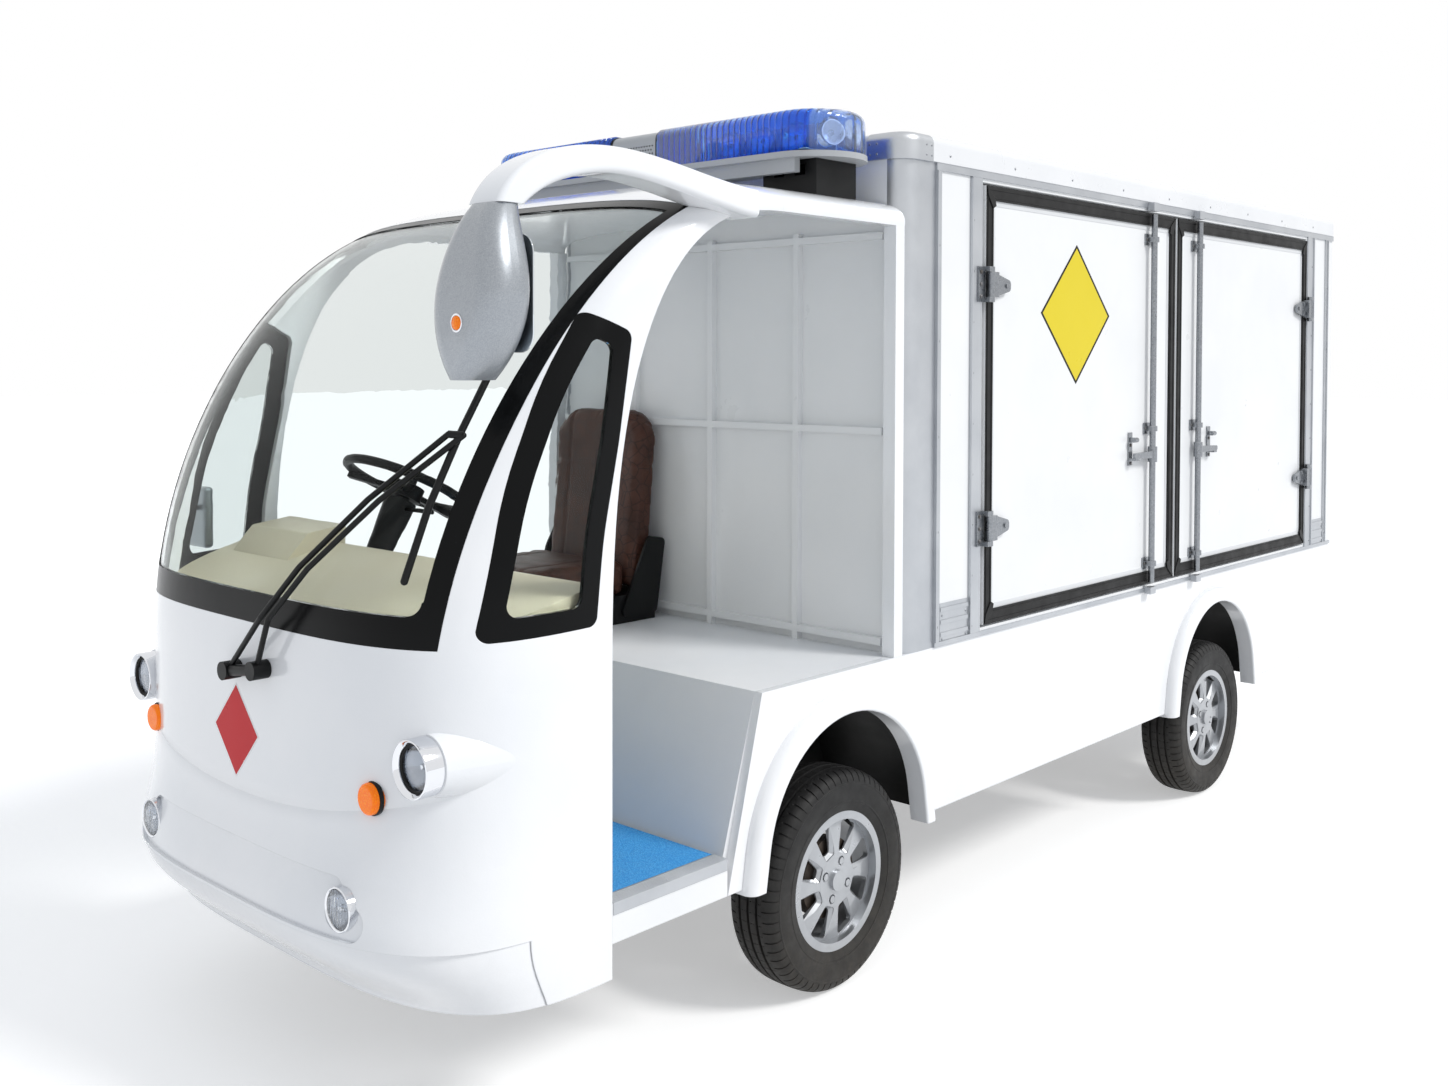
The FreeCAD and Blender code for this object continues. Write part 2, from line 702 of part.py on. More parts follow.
def glazing(opening):
    """Black borders and the panes inside them."""
    stations = canopy_stations(GLASS_SHARES[0], GLASS_SHARES[1], CANOPY_SECTIONS)
    frame_skin = loft_band(stations, FRAME_SUNK, FRAME_SUNK + FRAME_DEPTH)
    pane_skin = loft_band(stations, GLASS_SUNK, GLASS_SUNK + GLASS_THICKNESS)
    hole = pane_block()
    frames = [frame_skin.common(opening).cut(hole)]
    panes = [pane_skin.common(hole)]
    for name, side in SIDES:
        hole = quarter_prism(-QUARTER_BORDER, side)
        frames.append(frame_skin.common(quarter_prism(0.0, side)).cut(hole))
        panes.append(pane_skin.common(hole))
    save("glazing_frames", *frames)
    save("cab_glass", *panes)


def lamp_seats():
    """Blocks that the front lamps fill, to be cut from the cowl and the dashboard."""
    seats = []
    for name, side in SIDES:
        seats.append(lamp_axis(HEADLAMP, side, HEADLAMP_RADIUS, 0.0, HEADLAMP_DEPTH + BODY_GAP))
        seats.append(lamp_axis(FOG_LAMP, side, FOG_RADIUS, -FOG_LENGTH, FOG_LENGTH + BODY_GAP))
        seats.append(lamp_axis(SIGNAL, side, SIGNAL_RADIUS, -SIGNAL_LENGTH, SIGNAL_LENGTH + BODY_GAP))
    return seats


def lamp_cup(place, side, radius, inner, length):
    """Round lamp housing, open towards the front."""
    depth = length - (radius - inner)
    return lamp_axis(place, side, radius, 0.0, length).cut(lamp_axis(place, side, inner, -1.0, depth))


def lamps():
    """Headlamps, fog lamps, signals and tail lamps."""
    cups, lenses, signals = [], [], []
    for name, side in SIDES:
        cups.append(lamp_cup(HEADLAMP, side, HEADLAMP_RADIUS, HEADLAMP_INNER, HEADLAMP_DEPTH))
        cups.append(lamp_cup(FOG_LAMP, side, FOG_RADIUS, FOG_RADIUS - FOG_RIM, FOG_LENGTH))
        lenses.append(lamp_axis(HEADLAMP, side, HEADLAMP_INNER - BODY_GAP, HEADLAMP_LENS_SUNK,
                                HEADLAMP_LENS_SUNK + GLASS_THICKNESS))
        lenses.append(lamp_axis(FOG_LAMP, side, FOG_RADIUS - FOG_RIM - BODY_GAP, FOG_LENS_SUNK,
                                FOG_LENS_SUNK + GLASS_THICKNESS))
        signal = lamp_axis(SIGNAL, side, SIGNAL_RADIUS, -SIGNAL_DOME, SIGNAL_LENGTH)
        dome_y = behind(SIGNAL[1]) - SIGNAL_DOME
        front_edges = [edge for edge in signal.Edges if edge.BoundBox.YMax < dome_y + 1]
        signals.append(signal.makeFillet(SIGNAL_DOME - 1, front_edges))
    x, height = TAIL_LAMP
    rear = behind(BOX_REAR)
    half = TAIL_LAMP_WIDTH / 2
    tails = [box(side * (x - half), side * (x + half), rear, rear + TAIL_LAMP_DEPTH, z, z + height)
             for name, side in SIDES for z in TAIL_LAMP_Z]
    save("front_lamps", *cups)
    save("lamp_lenses", *lenses)
    save("turn_signals", *signals)
    save("tail_lamps", *tails)


def tyre(x, y):
    """Tyre with a bulging wall and rounded shoulders, turned about the axle."""
    bead = RIM_WIDTH / 2 - RIM_LIP - BODY_GAP
    seat, flange = BEAD_DIAMETER / 2, RIM_DIAMETER / 2 + BODY_GAP
    half = [(bead, seat), (bead, flange), (bead + RIM_LIP, flange)]
    half += [(wide * TYRE_WIDTH / 2, flange + high * (TYRE_RADIUS - flange)) for wide, high in TYRE_WALL]
    mirrored = [(-wide, radius) for wide, radius in reversed(half[:-1])]
    return revolve(half + mirrored).translated(V(x, y, AXLE_Z))


def window_wire(x, grow):
    """Outline of one rim window in the plane at x, larger by grow at its sides and foot."""
    foot, top = WINDOW_FOOT - grow, WINDOW_TOP
    outline = [(-WINDOW_FOOT_HALF - grow, foot), (WINDOW_FOOT_HALF + grow, foot),
               (WINDOW_TOP_HALF + grow + WINDOW_SWIRL, top), (WINDOW_SWIRL - WINDOW_TOP_HALF - grow, top)]
    return rounded_wire([V(x, y, z) for y, z in outline], [WINDOW_CORNER] * 4)


def rim_windows():
    """Bars with bevelled mouths that leave the spokes between them."""
    face = DISC_FACE[1][1]
    middle = face - DISC_THICKNESS / 2
    wires = [window_wire(0.0, 0.0), window_wire(middle, 0.0), window_wire(face + 1.5, WINDOW_BEVEL),
             window_wire(face + DISC_THICKNESS, WINDOW_BEVEL)]
    bar = Part.makeLoft(wires, True, True)
    turns = [360.0 / SPOKES * (step + 0.5) for step in range(SPOKES)]
    return [bar.rotated(V(0, 0, 0), V(1, 0, 0), turn) for turn in turns]


def rim_shape():
    """Rim of a left wheel about the origin: barrel, spoked disc, hub, nuts and brake drum."""
    half, bead, lip = RIM_WIDTH / 2, BEAD_DIAMETER / 2, RIM_DIAMETER / 2
    barrel = revolve([(-half, lip), (-half, bead - RIM_WALL), (half, bead - RIM_WALL), (half, lip),
                      (half - RIM_LIP, lip), (half - RIM_LIP, bead - BODY_GAP),
                      (-half + RIM_LIP, bead - BODY_GAP), (-half + RIM_LIP, lip)])
    disc = revolve([(face, radius) for radius, face in DISC_FACE]
                   + [(face - DISC_THICKNESS, radius) for radius, face in reversed(DISC_FACE)])
    disc = disc.cut(rim_windows())
    hub = cylinder((-DRUM_INSIDE, 0, 0), (1, 0, 0), HUB_RADIUS, HUB_FACE + DRUM_INSIDE)
    drum = cylinder((-DRUM_INSIDE, 0, 0), (1, 0, 0), DRUM_RADIUS, DRUM_WIDTH)
    cap = cylinder((HUB_FACE - 1, 0, 0), (1, 0, 0), HUB_CAP_RADIUS, HUB_CAP_HEIGHT + 1)
    wheel = join([barrel, disc, hub, drum, cap])
    nuts = []
    for step in range(LUG_NUTS):
        angle = math.radians(360.0 / LUG_NUTS * step + 180.0 / SPOKES)
        across, up = LUG_CIRCLE / 2 * math.sin(angle), LUG_CIRCLE / 2 * math.cos(angle)
        foot = HUB_FACE - LUG_DEPTH
        wheel = wheel.cut(cylinder((foot, across, up), (1, 0, 0), LUG_POCKET, CLEAR))
        nuts.append(cylinder((foot - 1, across, up), (1, 0, 0), LUG_RADIUS, LUG_HEIGHT + 1))
    wheel = join([wheel] + nuts)
    bore = cylinder((-BORE_START, 0, 0), (1, 0, 0), SPINDLE_RADIUS + RUNNING_GAP, BORE_START + BORE_END)
    return wheel.cut(bore)


def wheels():
    """Four wheels, each a tyre and a rim."""
    left_rim = rim_shape()
    for axle, y in AXLES:
        for name, side in SIDES:
            turned = left_rim if side > 0 else left_rim.rotated(V(0, 0, 0), V(0, 0, 1), 180)
            save("tyre_" + axle + "_" + name, tyre(side * WHEEL_X, y))
            save("rim_" + axle + "_" + name, turned.translated(V(side * WHEEL_X, y, AXLE_Z)))


def spindle(side, y, start_x):
    """Stub that carries a wheel's hub."""
    end_x = WHEEL_X + BORE_END - 1
    return cylinder((side * start_x, y, AXLE_Z), (side, 0, 0), SPINDLE_RADIUS, end_x - start_x)


def knuckles():
    """Steering knuckles: fork, kingpin, web, steering arm and spindle."""
    low, high = AXLE_Z - KNUCKLE_HEIGHT / 2, AXLE_Z + KNUCKLE_HEIGHT / 2
    ear_height = (KNUCKLE_HEIGHT - EYE_HEIGHT) / 2 - BODY_GAP
    ear_feet = (low, AXLE_Z + EYE_HEIGHT / 2 + BODY_GAP)
    yoke_x = KINGPIN_X + EYE_RADIUS + EYE_WALL
    y = FRONT_AXLE_Y
    for name, side in SIDES:
        x = side * KINGPIN_X
        shapes = [cylinder((x, y, low), (0, 0, 1), KINGPIN_RADIUS, KNUCKLE_HEIGHT)]
        shapes.append(box(side * yoke_x, side * (yoke_x + YOKE_WEB), y - YOKE_WIDTH / 2, y + YOKE_WIDTH / 2,
                          low, high))
        shapes.append(spindle(side, y, yoke_x + 2))
        shapes.append(box(x - STEER_ARM_WIDTH / 2, x + STEER_ARM_WIDTH / 2, y + 10, y + 10 + STEER_ARM_LENGTH,
                          ear_feet[1], high))
        for foot in ear_feet:
            shapes.append(cylinder((x, y, foot), (0, 0, 1), EYE_RADIUS, ear_height))
            shapes.append(box(x, side * (yoke_x + 2), y - LINK_WIDTH / 2, y + LINK_WIDTH / 2,
                              foot, foot + ear_height))
        save("knuckle_" + name, join(shapes))


def front_axle():
    """Straight beam with a rounded eye for each kingpin."""
    y = FRONT_AXLE_Y
    low, high = AXLE_Z - EYE_HEIGHT / 2, AXLE_Z + EYE_HEIGHT / 2
    half = KINGPIN_X - EYE_RADIUS / 2
    shapes = [box(-half, half, y - BEAM_WIDTH / 2, y + BEAM_WIDTH / 2, low, high)]
    holes = []
    for name, side in SIDES:
        centre = (side * KINGPIN_X, y, low)
        shapes.append(cylinder(centre, (0, 0, 1), EYE_RADIUS, EYE_HEIGHT))
        holes.append(cylinder(centre, (0, 0, 1), KINGPIN_RADIUS + RUNNING_GAP, EYE_HEIGHT))
    save("front_axle", join(shapes).cut(Part.makeCompound(holes)))


def rear_axle():
    """Driven axle: tube, differential, motor and wheel spindles."""
    y = REAR_AXLE_Y
    end = WHEEL_X - RIM_WIDTH / 2 - AXLE_END_GAP
    tube = cylinder((-end, y, AXLE_Z), (1, 0, 0), AXLE_TUBE_RADIUS, 2 * end)
    neck = AXLE_TUBE_RADIUS - 6
    profile = [(-DIFF_HALF, 0), (-DIFF_HALF, neck), (-DIFF_FACE, DIFF_RADIUS), (DIFF_FACE, DIFF_RADIUS),
               (DIFF_HALF, neck), (DIFF_HALF, 0)]
    diff = revolve(profile).translated(V(0, y, AXLE_Z))
    motor = cylinder((0, y - DIFF_RADIUS + MOTOR_SUNK, AXLE_Z), (0, -1, 0), MOTOR_RADIUS, MOTOR_LENGTH)
    stubs = [spindle(side, y, end - 2) for name, side in SIDES]
    save("rear_axle", join([tube, diff, motor] + stubs))


def leaf_pack(x, y, top):
    """Curved spring pack over an axle, with its pad and the hangers up to the rail."""
    half, wide = SPRING_SPAN / 2, SPRING_WIDTH / 2
    low = top + SPRING_SEAT
    end_z = low + SPRING_RISE
    arcs = [Part.Arc(V(0, -half, end_z + lift), V(0, 0, low + lift), V(0, half, end_z + lift)).toShape()
            for lift in (0, SPRING_PACK)]
    ends = [Part.makeLine(V(0, way * half, end_z), V(0, way * half, end_z + SPRING_PACK)) for way in (-1, 1)]
    leaves = Part.Face(Part.Wire([arcs[0], ends[1], arcs[1], ends[0]])).extrude(V(SPRING_WIDTH, 0, 0))
    shapes = [leaves.translated(V(x - wide, y, 0))]
    shapes.append(box(x - wide, x + wide, y - SPRING_PAD / 2, y + SPRING_PAD / 2, top, low + SPRING_PACK / 3))
    for way in (-1, 1):
        outer = y + way * half
        shapes.append(box(x - wide, x + wide, outer, outer - way * HANGER_LENGTH, end_z, RAIL_HIGH_Z))
    return join(shapes)


def leaf_springs():
    """Four spring packs between axles and rails."""
    packs = []
    for y, top in ((FRONT_AXLE_Y, AXLE_Z + EYE_HEIGHT / 2), (REAR_AXLE_Y, AXLE_Z + AXLE_TUBE_RADIUS)):
        packs += [leaf_pack(side * RAIL_X, y, top) for name, side in SIDES]
    save("leaf_springs", *packs)


def chassis_frame():
    """Two kicked-up rails with cross members."""
    front, rear = behind(RAIL_FRONT), behind(RAIL_REAR)
    kick_front, kick_rear = (behind(distance) for distance in RAIL_KICK)
    low_line = [(front, RAIL_LOW_Z), (kick_front, RAIL_LOW_Z), (kick_rear, RAIL_HIGH_Z), (rear, RAIL_HIGH_Z)]
    outline = low_line + [(y, z + RAIL_HEIGHT) for y, z in reversed(low_line)]
    inner, outer = RAIL_X - RAIL_WIDTH / 2, RAIL_X + RAIL_WIDTH / 2
    shapes = [side_plate(outline, side * inner, side * outer) for name, side in SIDES]
    for members, rail_z in ((LOW_MEMBERS, RAIL_LOW_Z), (HIGH_MEMBERS, RAIL_HIGH_Z)):
        z = rail_z + (RAIL_HEIGHT - CROSS_MEMBER) / 2
        for distance in members:
            y = behind(distance)
            shapes.append(box(-RAIL_X, RAIL_X, y, y + CROSS_MEMBER, z, z + CROSS_MEMBER))
    save("chassis_frame", join(shapes))


def deck_bearers():
    """Cross bearers under the load floor, each on two stanchions from the rails."""
    inner = RAIL_X - RAIL_WIDTH / 2 + STANCHION_INSET
    outer = RAIL_X + RAIL_WIDTH / 2 - STANCHION_INSET
    top = DECK_Z - LOAD_FLOOR
    bearers = []
    for distance in BEARERS:
        y = behind(distance)
        shapes = [box(SKIRT_WALL - HALF, HALF - SKIRT_WALL, y, y + BEARER_WIDTH, top - BEARER_HEIGHT, top)]
        for name, side in SIDES:
            shapes.append(box(side * inner, side * outer, y + STANCHION_INSET,
                              y + BEARER_WIDTH - STANCHION_INSET, RAIL_HIGH_Z + RAIL_HEIGHT,
                              top - BEARER_HEIGHT / 2))
        bearers.append(join(shapes))
    save("deck_bearers", *bearers)


def rear_bumper():
    """Plain bumper bar on two brackets behind the rails."""
    inner = RAIL_X - RAIL_WIDTH / 2 + STANCHION_INSET
    outer = RAIL_X + RAIL_WIDTH / 2 - STANCHION_INSET
    front = TAIL_Y - BUMPER_DEPTH
    bottom = SKIRT_BOTTOM + BUMPER_LIFT
    top = bottom + BUMPER_HEIGHT
    shapes = [box(BUMPER_INSET - HALF, HALF - BUMPER_INSET, front, TAIL_Y, bottom, top)]
    for name, side in SIDES:
        shapes.append(box(side * inner, side * outer, behind(RAIL_REAR), front + 1,
                          RAIL_HIGH_Z + 10, top - 10))
    save("rear_bumper", join(shapes))


def battery_pack():
    """Traction battery between the rails."""
    reach = RAIL_X - RAIL_WIDTH / 2
    y = behind(BATTERY_START)
    save("battery_pack", box(-reach, reach, y, y + BATTERY_LENGTH, RAIL_HIGH_Z, RAIL_HIGH_Z + BATTERY_HEIGHT))


def arch_block(y, grow, x0, x1):
    """Block with a wheel opening's outline: splayed legs under a round top, larger by grow."""
    radius = ARCH_RADIUS + grow
    foot = ARCH_FOOT_HALF + grow
    centre_z = ARCH_TOP_Z - ARCH_RADIUS
    drop = centre_z - ARCH_FOOT_Z
    start = math.acos(radius / math.hypot(foot, drop)) - math.atan2(drop, foot)
    touch_y, touch_z = radius * math.cos(start), centre_z + radius * math.sin(start)
    feet = [V(x0, y + way * foot, ARCH_FOOT_Z) for way in (-1, 1)]
    touches = [V(x0, y + way * touch_y, touch_z) for way in (-1, 1)]
    arc = Part.Arc(touches[0], V(x0, y, centre_z + radius), touches[1]).toShape()
    edges = [Part.makeLine(feet[0], touches[0]), arc, Part.makeLine(touches[1], feet[1]),
             Part.makeLine(feet[1], feet[0])]
    return Part.Face(Part.Wire(edges)).extrude(V(x1 - x0, 0, 0))


def flare(y, side):
    """Raised band round a wheel opening, rounded to both sides, with legs that pass the hem."""
    outside = side * (HALF + FLARE_STAND)
    band = arch_block(y, FLARE_BAND, side * (HALF - SKIRT_WALL), outside)
    hem = SKIRT_BOTTOM - FLARE_DROP
    band = band.cut(box(-HALF - CLEAR, HALF + CLEAR, y - CLEAR, y + CLEAR, 0, hem))
    rims = [edge for edge in outer_edges(band, outside) if edge.BoundBox.ZMax > hem + 1]
    band = band.makeFillet(FLARE_OUTER_ROUND, rims)
    band = band.cut(arch_block(y, 0.0, side * (HALF / 2), side * (HALF + CLEAR)))
    mouth = [edge for edge in outer_edges(band, outside)
             if edge.BoundBox.ZMax > hem + 1 and edge.BoundBox.YLength < 2 * ARCH_RADIUS
             and abs(edge.BoundBox.Center.y - y) < ARCH_FOOT_HALF]
    return band.makeFillet(FLARE_INNER_ROUND, mouth)


def skirts():
    """Side panels with two wheel openings each."""
    for name, side in SIDES:
        outline = [(behind(SKIRT_FRONT_BOTTOM), SKIRT_BOTTOM), (behind(BOX_REAR), SKIRT_BOTTOM),
                   (behind(BOX_REAR), DECK_Z), (behind(SKIRT_FRONT_TOP), DECK_Z)]
        panel = side_plate(outline, side * (HALF - SKIRT_WALL), side * HALF)
        for axle, y in AXLES:
            panel = panel.cut(arch_block(y, 0.0, side * HALF / 2, side * (HALF + CLEAR)))
        save("side_skirt_" + name, join([panel] + [flare(y, side) for axle, y in AXLES]))


def wheel_liners():
    """Black wheel wells behind the openings."""
    liners = []
    for name, side in SIDES:
        for axle, y in AXLES:
            x0, x1 = side * LINER_INNER_X, side * (HALF - SKIRT_WALL)
            well = arch_block(y, LINER_WALL, x0, x1)
            well = well.cut(arch_block(y, 0.0, x0 + side * LINER_WALL, x1 + side))
            liners.append(well.cut(box(-HALF, HALF, y - CLEAR, y + CLEAR, 0, LINER_BOTTOM)))
    save("wheel_liners", *liners)


def cab_floor():
    """Footwell pan with a toe board and white sills, and the mat on it."""
    rear = behind(SKIRT_FRONT_BOTTOM) - 2
    door_front = CANOPY_Y - DOORWAY_REACH
    wide = HALF - THRESHOLD
    bottom = FLOOR_TOP - FLOOR_THICKNESS
    shapes = [box(-wide, wide, door_front, rear, bottom, FLOOR_TOP)]
    shapes.append(box(-TOE_HALF, TOE_HALF, behind(TOE_FRONT), door_front, bottom, FLOOR_TOP))
    for name, side in SIDES:
        shapes.append(box(side * wide, side * HALF, door_front, rear,
                          SKIRT_BOTTOM, FLOOR_TOP + MAT_THICKNESS))
    save("cab_floor", join(shapes))
    save("floor_mat", box(MAT_GAP - wide, wide - MAT_GAP, door_front + MAT_GAP, rear - MAT_GAP,
                          FLOOR_TOP, FLOOR_TOP + MAT_THICKNESS))


def seat_platform():
    """Step behind the footwell: slanted front and level deck in one bent plate."""
    front_top, front_low = behind(SKIRT_FRONT_TOP), behind(SKIRT_FRONT_BOTTOM)
    foot_z = SKIRT_BOTTOM + PLATFORM_LIFT
    rear = behind(CAB_WALL)
    outline = [(front_low, foot_z), (front_top, DECK_Z), (rear, DECK_Z), (rear, DECK_Z - PLATFORM_WALL),
               (front_top + PLATFORM_WALL, DECK_Z - PLATFORM_WALL), (front_low + PLATFORM_WALL, foot_z)]
    save("seat_platform", side_plate(outline, SKIRT_WALL - HALF, HALF - SKIRT_WALL))


def seat():
    """Seat frame with recliner brackets, cushion and backrest for the driver."""
    x0, x1 = SEAT_X
    front, rear = behind(SEAT_FRONT), behind(SEAT_REAR)
    base_top = DECK_Z + SEAT_BASE_HEIGHT
    shapes = [box(x0, x1, front, rear, DECK_Z, base_top)]
    outline = [(behind(y), DECK_Z + z) for y, z in RECLINER]
    for inside, outside in ((x0, x0 - RECLINER_THICKNESS), (x1, x1 + RECLINER_THICKNESS)):
        shapes.append(side_plate(outline, inside, outside, RECLINER_CORNER))
    save("seat_base", join(shapes))
    cushion_rear = behind(BACKREST_START)
    outline = rectangle(x0 + BODY_GAP, x1 - BODY_GAP, front - CUSHION_OVERHANG, cushion_rear)
    save("seat_cushion", plan_plate(outline, base_top + BODY_GAP, base_top + CUSHION_HEIGHT, CUSHION_CORNER))
    foot, top = base_top + BODY_GAP, DECK_Z + BACKREST_TOP
    start = cushion_rear + BODY_GAP
    leaning = start + BACKREST_LEAN
    outline = [(start, foot), (start + BACKREST_FOOT, foot), (leaning + BACKREST_HEAD, top), (leaning, top)]
    slab = side_plate(outline, x0 + BODY_GAP, x1 - BODY_GAP)
    shoulders = front_plate([(x0, foot), (x1, foot), (x1, top), (x0, top)], start - CLEAR, start + CLEAR,
                            [0.0, 0.0, BACKREST_SHOULDER, BACKREST_SHOULDER])
    save("seat_backrest", slab.common(shoulders))


def dashboard(inner_block, lights):
    """Moulded shelf with an instrument hump, fitted into the cowl and round the lamps behind it."""
    shelf = side_plate([(behind(y), z) for y, z in DASH], -HALF, HALF, DASH_CORNER)
    hump = side_plate([(behind(y), z) for y, z in HUMP], HUMP_X[0], HUMP_X[1], HUMP_CORNER)
    fitted = join([shelf, hump]).common(inner_block).cut(Part.makeCompound(lights))
    save("dashboard", fitted)
    return fitted


def steering(shelf):
    """Column with shroud and stalk on the dashboard, and a wheel that turns on it."""
    hub = V(STEER_HUB[0], behind(STEER_HUB[1]), STEER_HUB[2])
    tilt = math.radians(STEER_TILT)
    axis = V(0, math.sin(tilt), math.cos(tilt))
    down = V(axis).multiply(-1)
    pad_end = hub.add(V(down).multiply(STEER_PAD_DEPTH))
    shapes = [Part.makeCylinder(COLUMN_RADIUS, COLUMN_LENGTH, pad_end, down)]
    shroud_start = hub.add(V(down).multiply(SHROUD_START))
    shapes.append(Part.makeCone(SHROUD_RADII[0], SHROUD_RADII[1], SHROUD_LENGTH, shroud_start, down))
    stalk = hub.add(V(down).multiply(STALK_DROP))
    shapes.append(cylinder(tuple(stalk), (1, 0, 0), STALK_RADIUS, STALK_LENGTH))
    y0, y1, z0, z1 = COLUMN_FOOT
    shapes.append(box(hub.x - COLUMN_FOOT_HALF, hub.x + COLUMN_FOOT_HALF, behind(y0), behind(y1), z0, z1))
    save("steering_column", join(shapes).cut(shelf))
    ring = Part.makeTorus(STEER_RADIUS - STEER_GRIP, STEER_GRIP, hub, axis)
    pad = Part.makeCylinder(STEER_PAD_RADIUS, STEER_PAD_DEPTH, pad_end.add(V(axis).multiply(0.5)), axis)
    spokes = []
    for turn in STEER_SPOKES:
        arm = box(STEER_PAD_RADIUS * 0.75, STEER_RADIUS - STEER_GRIP + 3, -STEER_SPOKE_WIDTH / 2,
                  STEER_SPOKE_WIDTH / 2, -STEER_SPOKE_LOW, -STEER_SPOKE_HIGH)
        arm.rotate(V(0, 0, 0), V(0, 0, 1), turn)
        arm.rotate(V(0, 0, 0), V(1, 0, 0), -STEER_TILT)
        arm.translate(hub)
        spokes.append(arm)
    save("steering_wheel", join([pad, ring] + spokes))


def rod_path(points, radius):
    """Round bar through points, rounded at each."""
    bars = [cylinder_between(tuple(start), tuple(end), radius) for start, end in zip(points, points[1:])]
    return join(bars + [Part.makeSphere(radius, point) for point in points])


def wiper(block):
    """Two capped pivots on the nose, twin arms and a blade over the windscreen."""
    shapes = []
    for x, z in WIPER_CAPS:
        face = CANOPY_Y - FRONT_REACH - WIPER_CAP_STAND
        shapes.append(cylinder((x, face, z), (0, 1, 0), WIPER_CAP_RADIUS, CLEAR / 10))
    (x0, z0), (x1, z1) = WIPER_CAPS
    face = CANOPY_Y - FRONT_REACH - WIPER_BAR
    shapes.append(cylinder_between((x0, face, z0), (x1, face, z1), WIPER_CAP_RADIUS * 0.6))
    for index, (x, z) in enumerate(WIPER_CAPS):
        shift = WIPER_ARM_SPREAD * (2 * index - 1)
        points = [V(x, face, z)]
        points += [canopy_point(across + shift, share, WIPER_ARM_OUT) for across, share in WIPER_ARMS]
        shapes.append(rod_path(points, WIPER_ARM_RADIUS))
    across, share = WIPER_ARMS[-1]
    ends = [canopy_point(across + way * WIPER_ARM_SPREAD, share, WIPER_ARM_OUT) for way in (-1, 1)]
    shapes.append(cylinder_between(tuple(ends[0]), tuple(ends[1]), WIPER_BLADE_RADIUS))
    blade = [canopy_point(x, share, WIPER_BLADE_OUT) for x, share in WIPER_BLADE]
    shapes.append(rod_path(blade, WIPER_BLADE_RADIUS))
    middle = canopy_point(across, share, WIPER_BLADE_OUT)
    joint = canopy_point(across, share, WIPER_ARM_OUT)
    shapes.append(cylinder_between(tuple(middle), tuple(joint), WIPER_BLADE_RADIUS))
    save("wiper", join(shapes).cut(block))


def smooth_curve(points):
    """Smooth edge through points."""
    curve = Part.BSplineCurve()
    curve.interpolate(points)
    return curve.toShape()


def mirror_arm(block, cowl):
    """Moulded horn, fitted to the roof corner, that bends down to the mirror head."""
    x0, x1 = ARM_X
    top = [V(x0, behind(y), z) for y, z in ARM_TOP]
    bottom = [V(x0, behind(y), z) for y, z in ARM_BOTTOM]
    edges = [smooth_curve(top), Part.makeLine(top[-1], bottom[0]), smooth_curve(bottom),
             Part.makeLine(bottom[-1], top[0])]
    horn = Part.Face(Part.Wire(edges)).extrude(V(x1 - x0, 0, 0))
    long_edges = [edge for x in ARM_X for edge in outer_edges(horn, x) if edge.Length > (x1 - x0) * 2]
    fitted = horn.makeFillet(ARM_ROUND, long_edges).cut(block).cut(cowl)
    save("mirror_arm", max(fitted.Solids, key=lambda solid: solid.Volume))


def head_section(section):
    """Rounded rectangle of the mirror head at one height."""
    z, x0, x1, y0, y1 = section
    corners = [V(x, y, z) for x, y in rectangle(x0, x1, behind(y0), behind(y1))]
    return rounded_wire(corners, [HEAD_CORNER * min(x1 - x0, y1 - y0)] * 4)


def mirror_heads(block):
    """Large mirror head on the left and a small mirror with its stem on the right."""
    head = Part.makeLoft([head_section(section) for section in HEAD_SECTIONS], True, False)
    (x0, x1), (z0, z1) = SMALL_MIRROR_X, SMALL_MIRROR_Z
    y0, y1 = (behind(distance) for distance in SMALL_MIRROR_Y)
    small = box(x0, x1, y0, y1, z0, z1)
    small = small.makeFillet(SMALL_MIRROR_ROUND, small.Edges)
    stem_ends = [(x, behind(y), z) for x, y, z in SMALL_STEM]
    stem = cylinder_between(stem_ends[0], stem_ends[1], SMALL_STEM_RADIUS).cut(block)
    save("mirror_heads", head, join([small, stem]))


def bar_plan(grow, z0, z1):
    """Block with the beacon bar's outline in plan, rounded at both ends."""
    y0, y1 = (behind(distance) for distance in BAR_Y)
    radius = (y1 - y0) / 2 + grow
    outline = rectangle(-BAR_HALF - grow, BAR_HALF + grow, y0 - grow, y1 + grow)
    return plan_plate(outline, z0, z1, radius - 0.01)


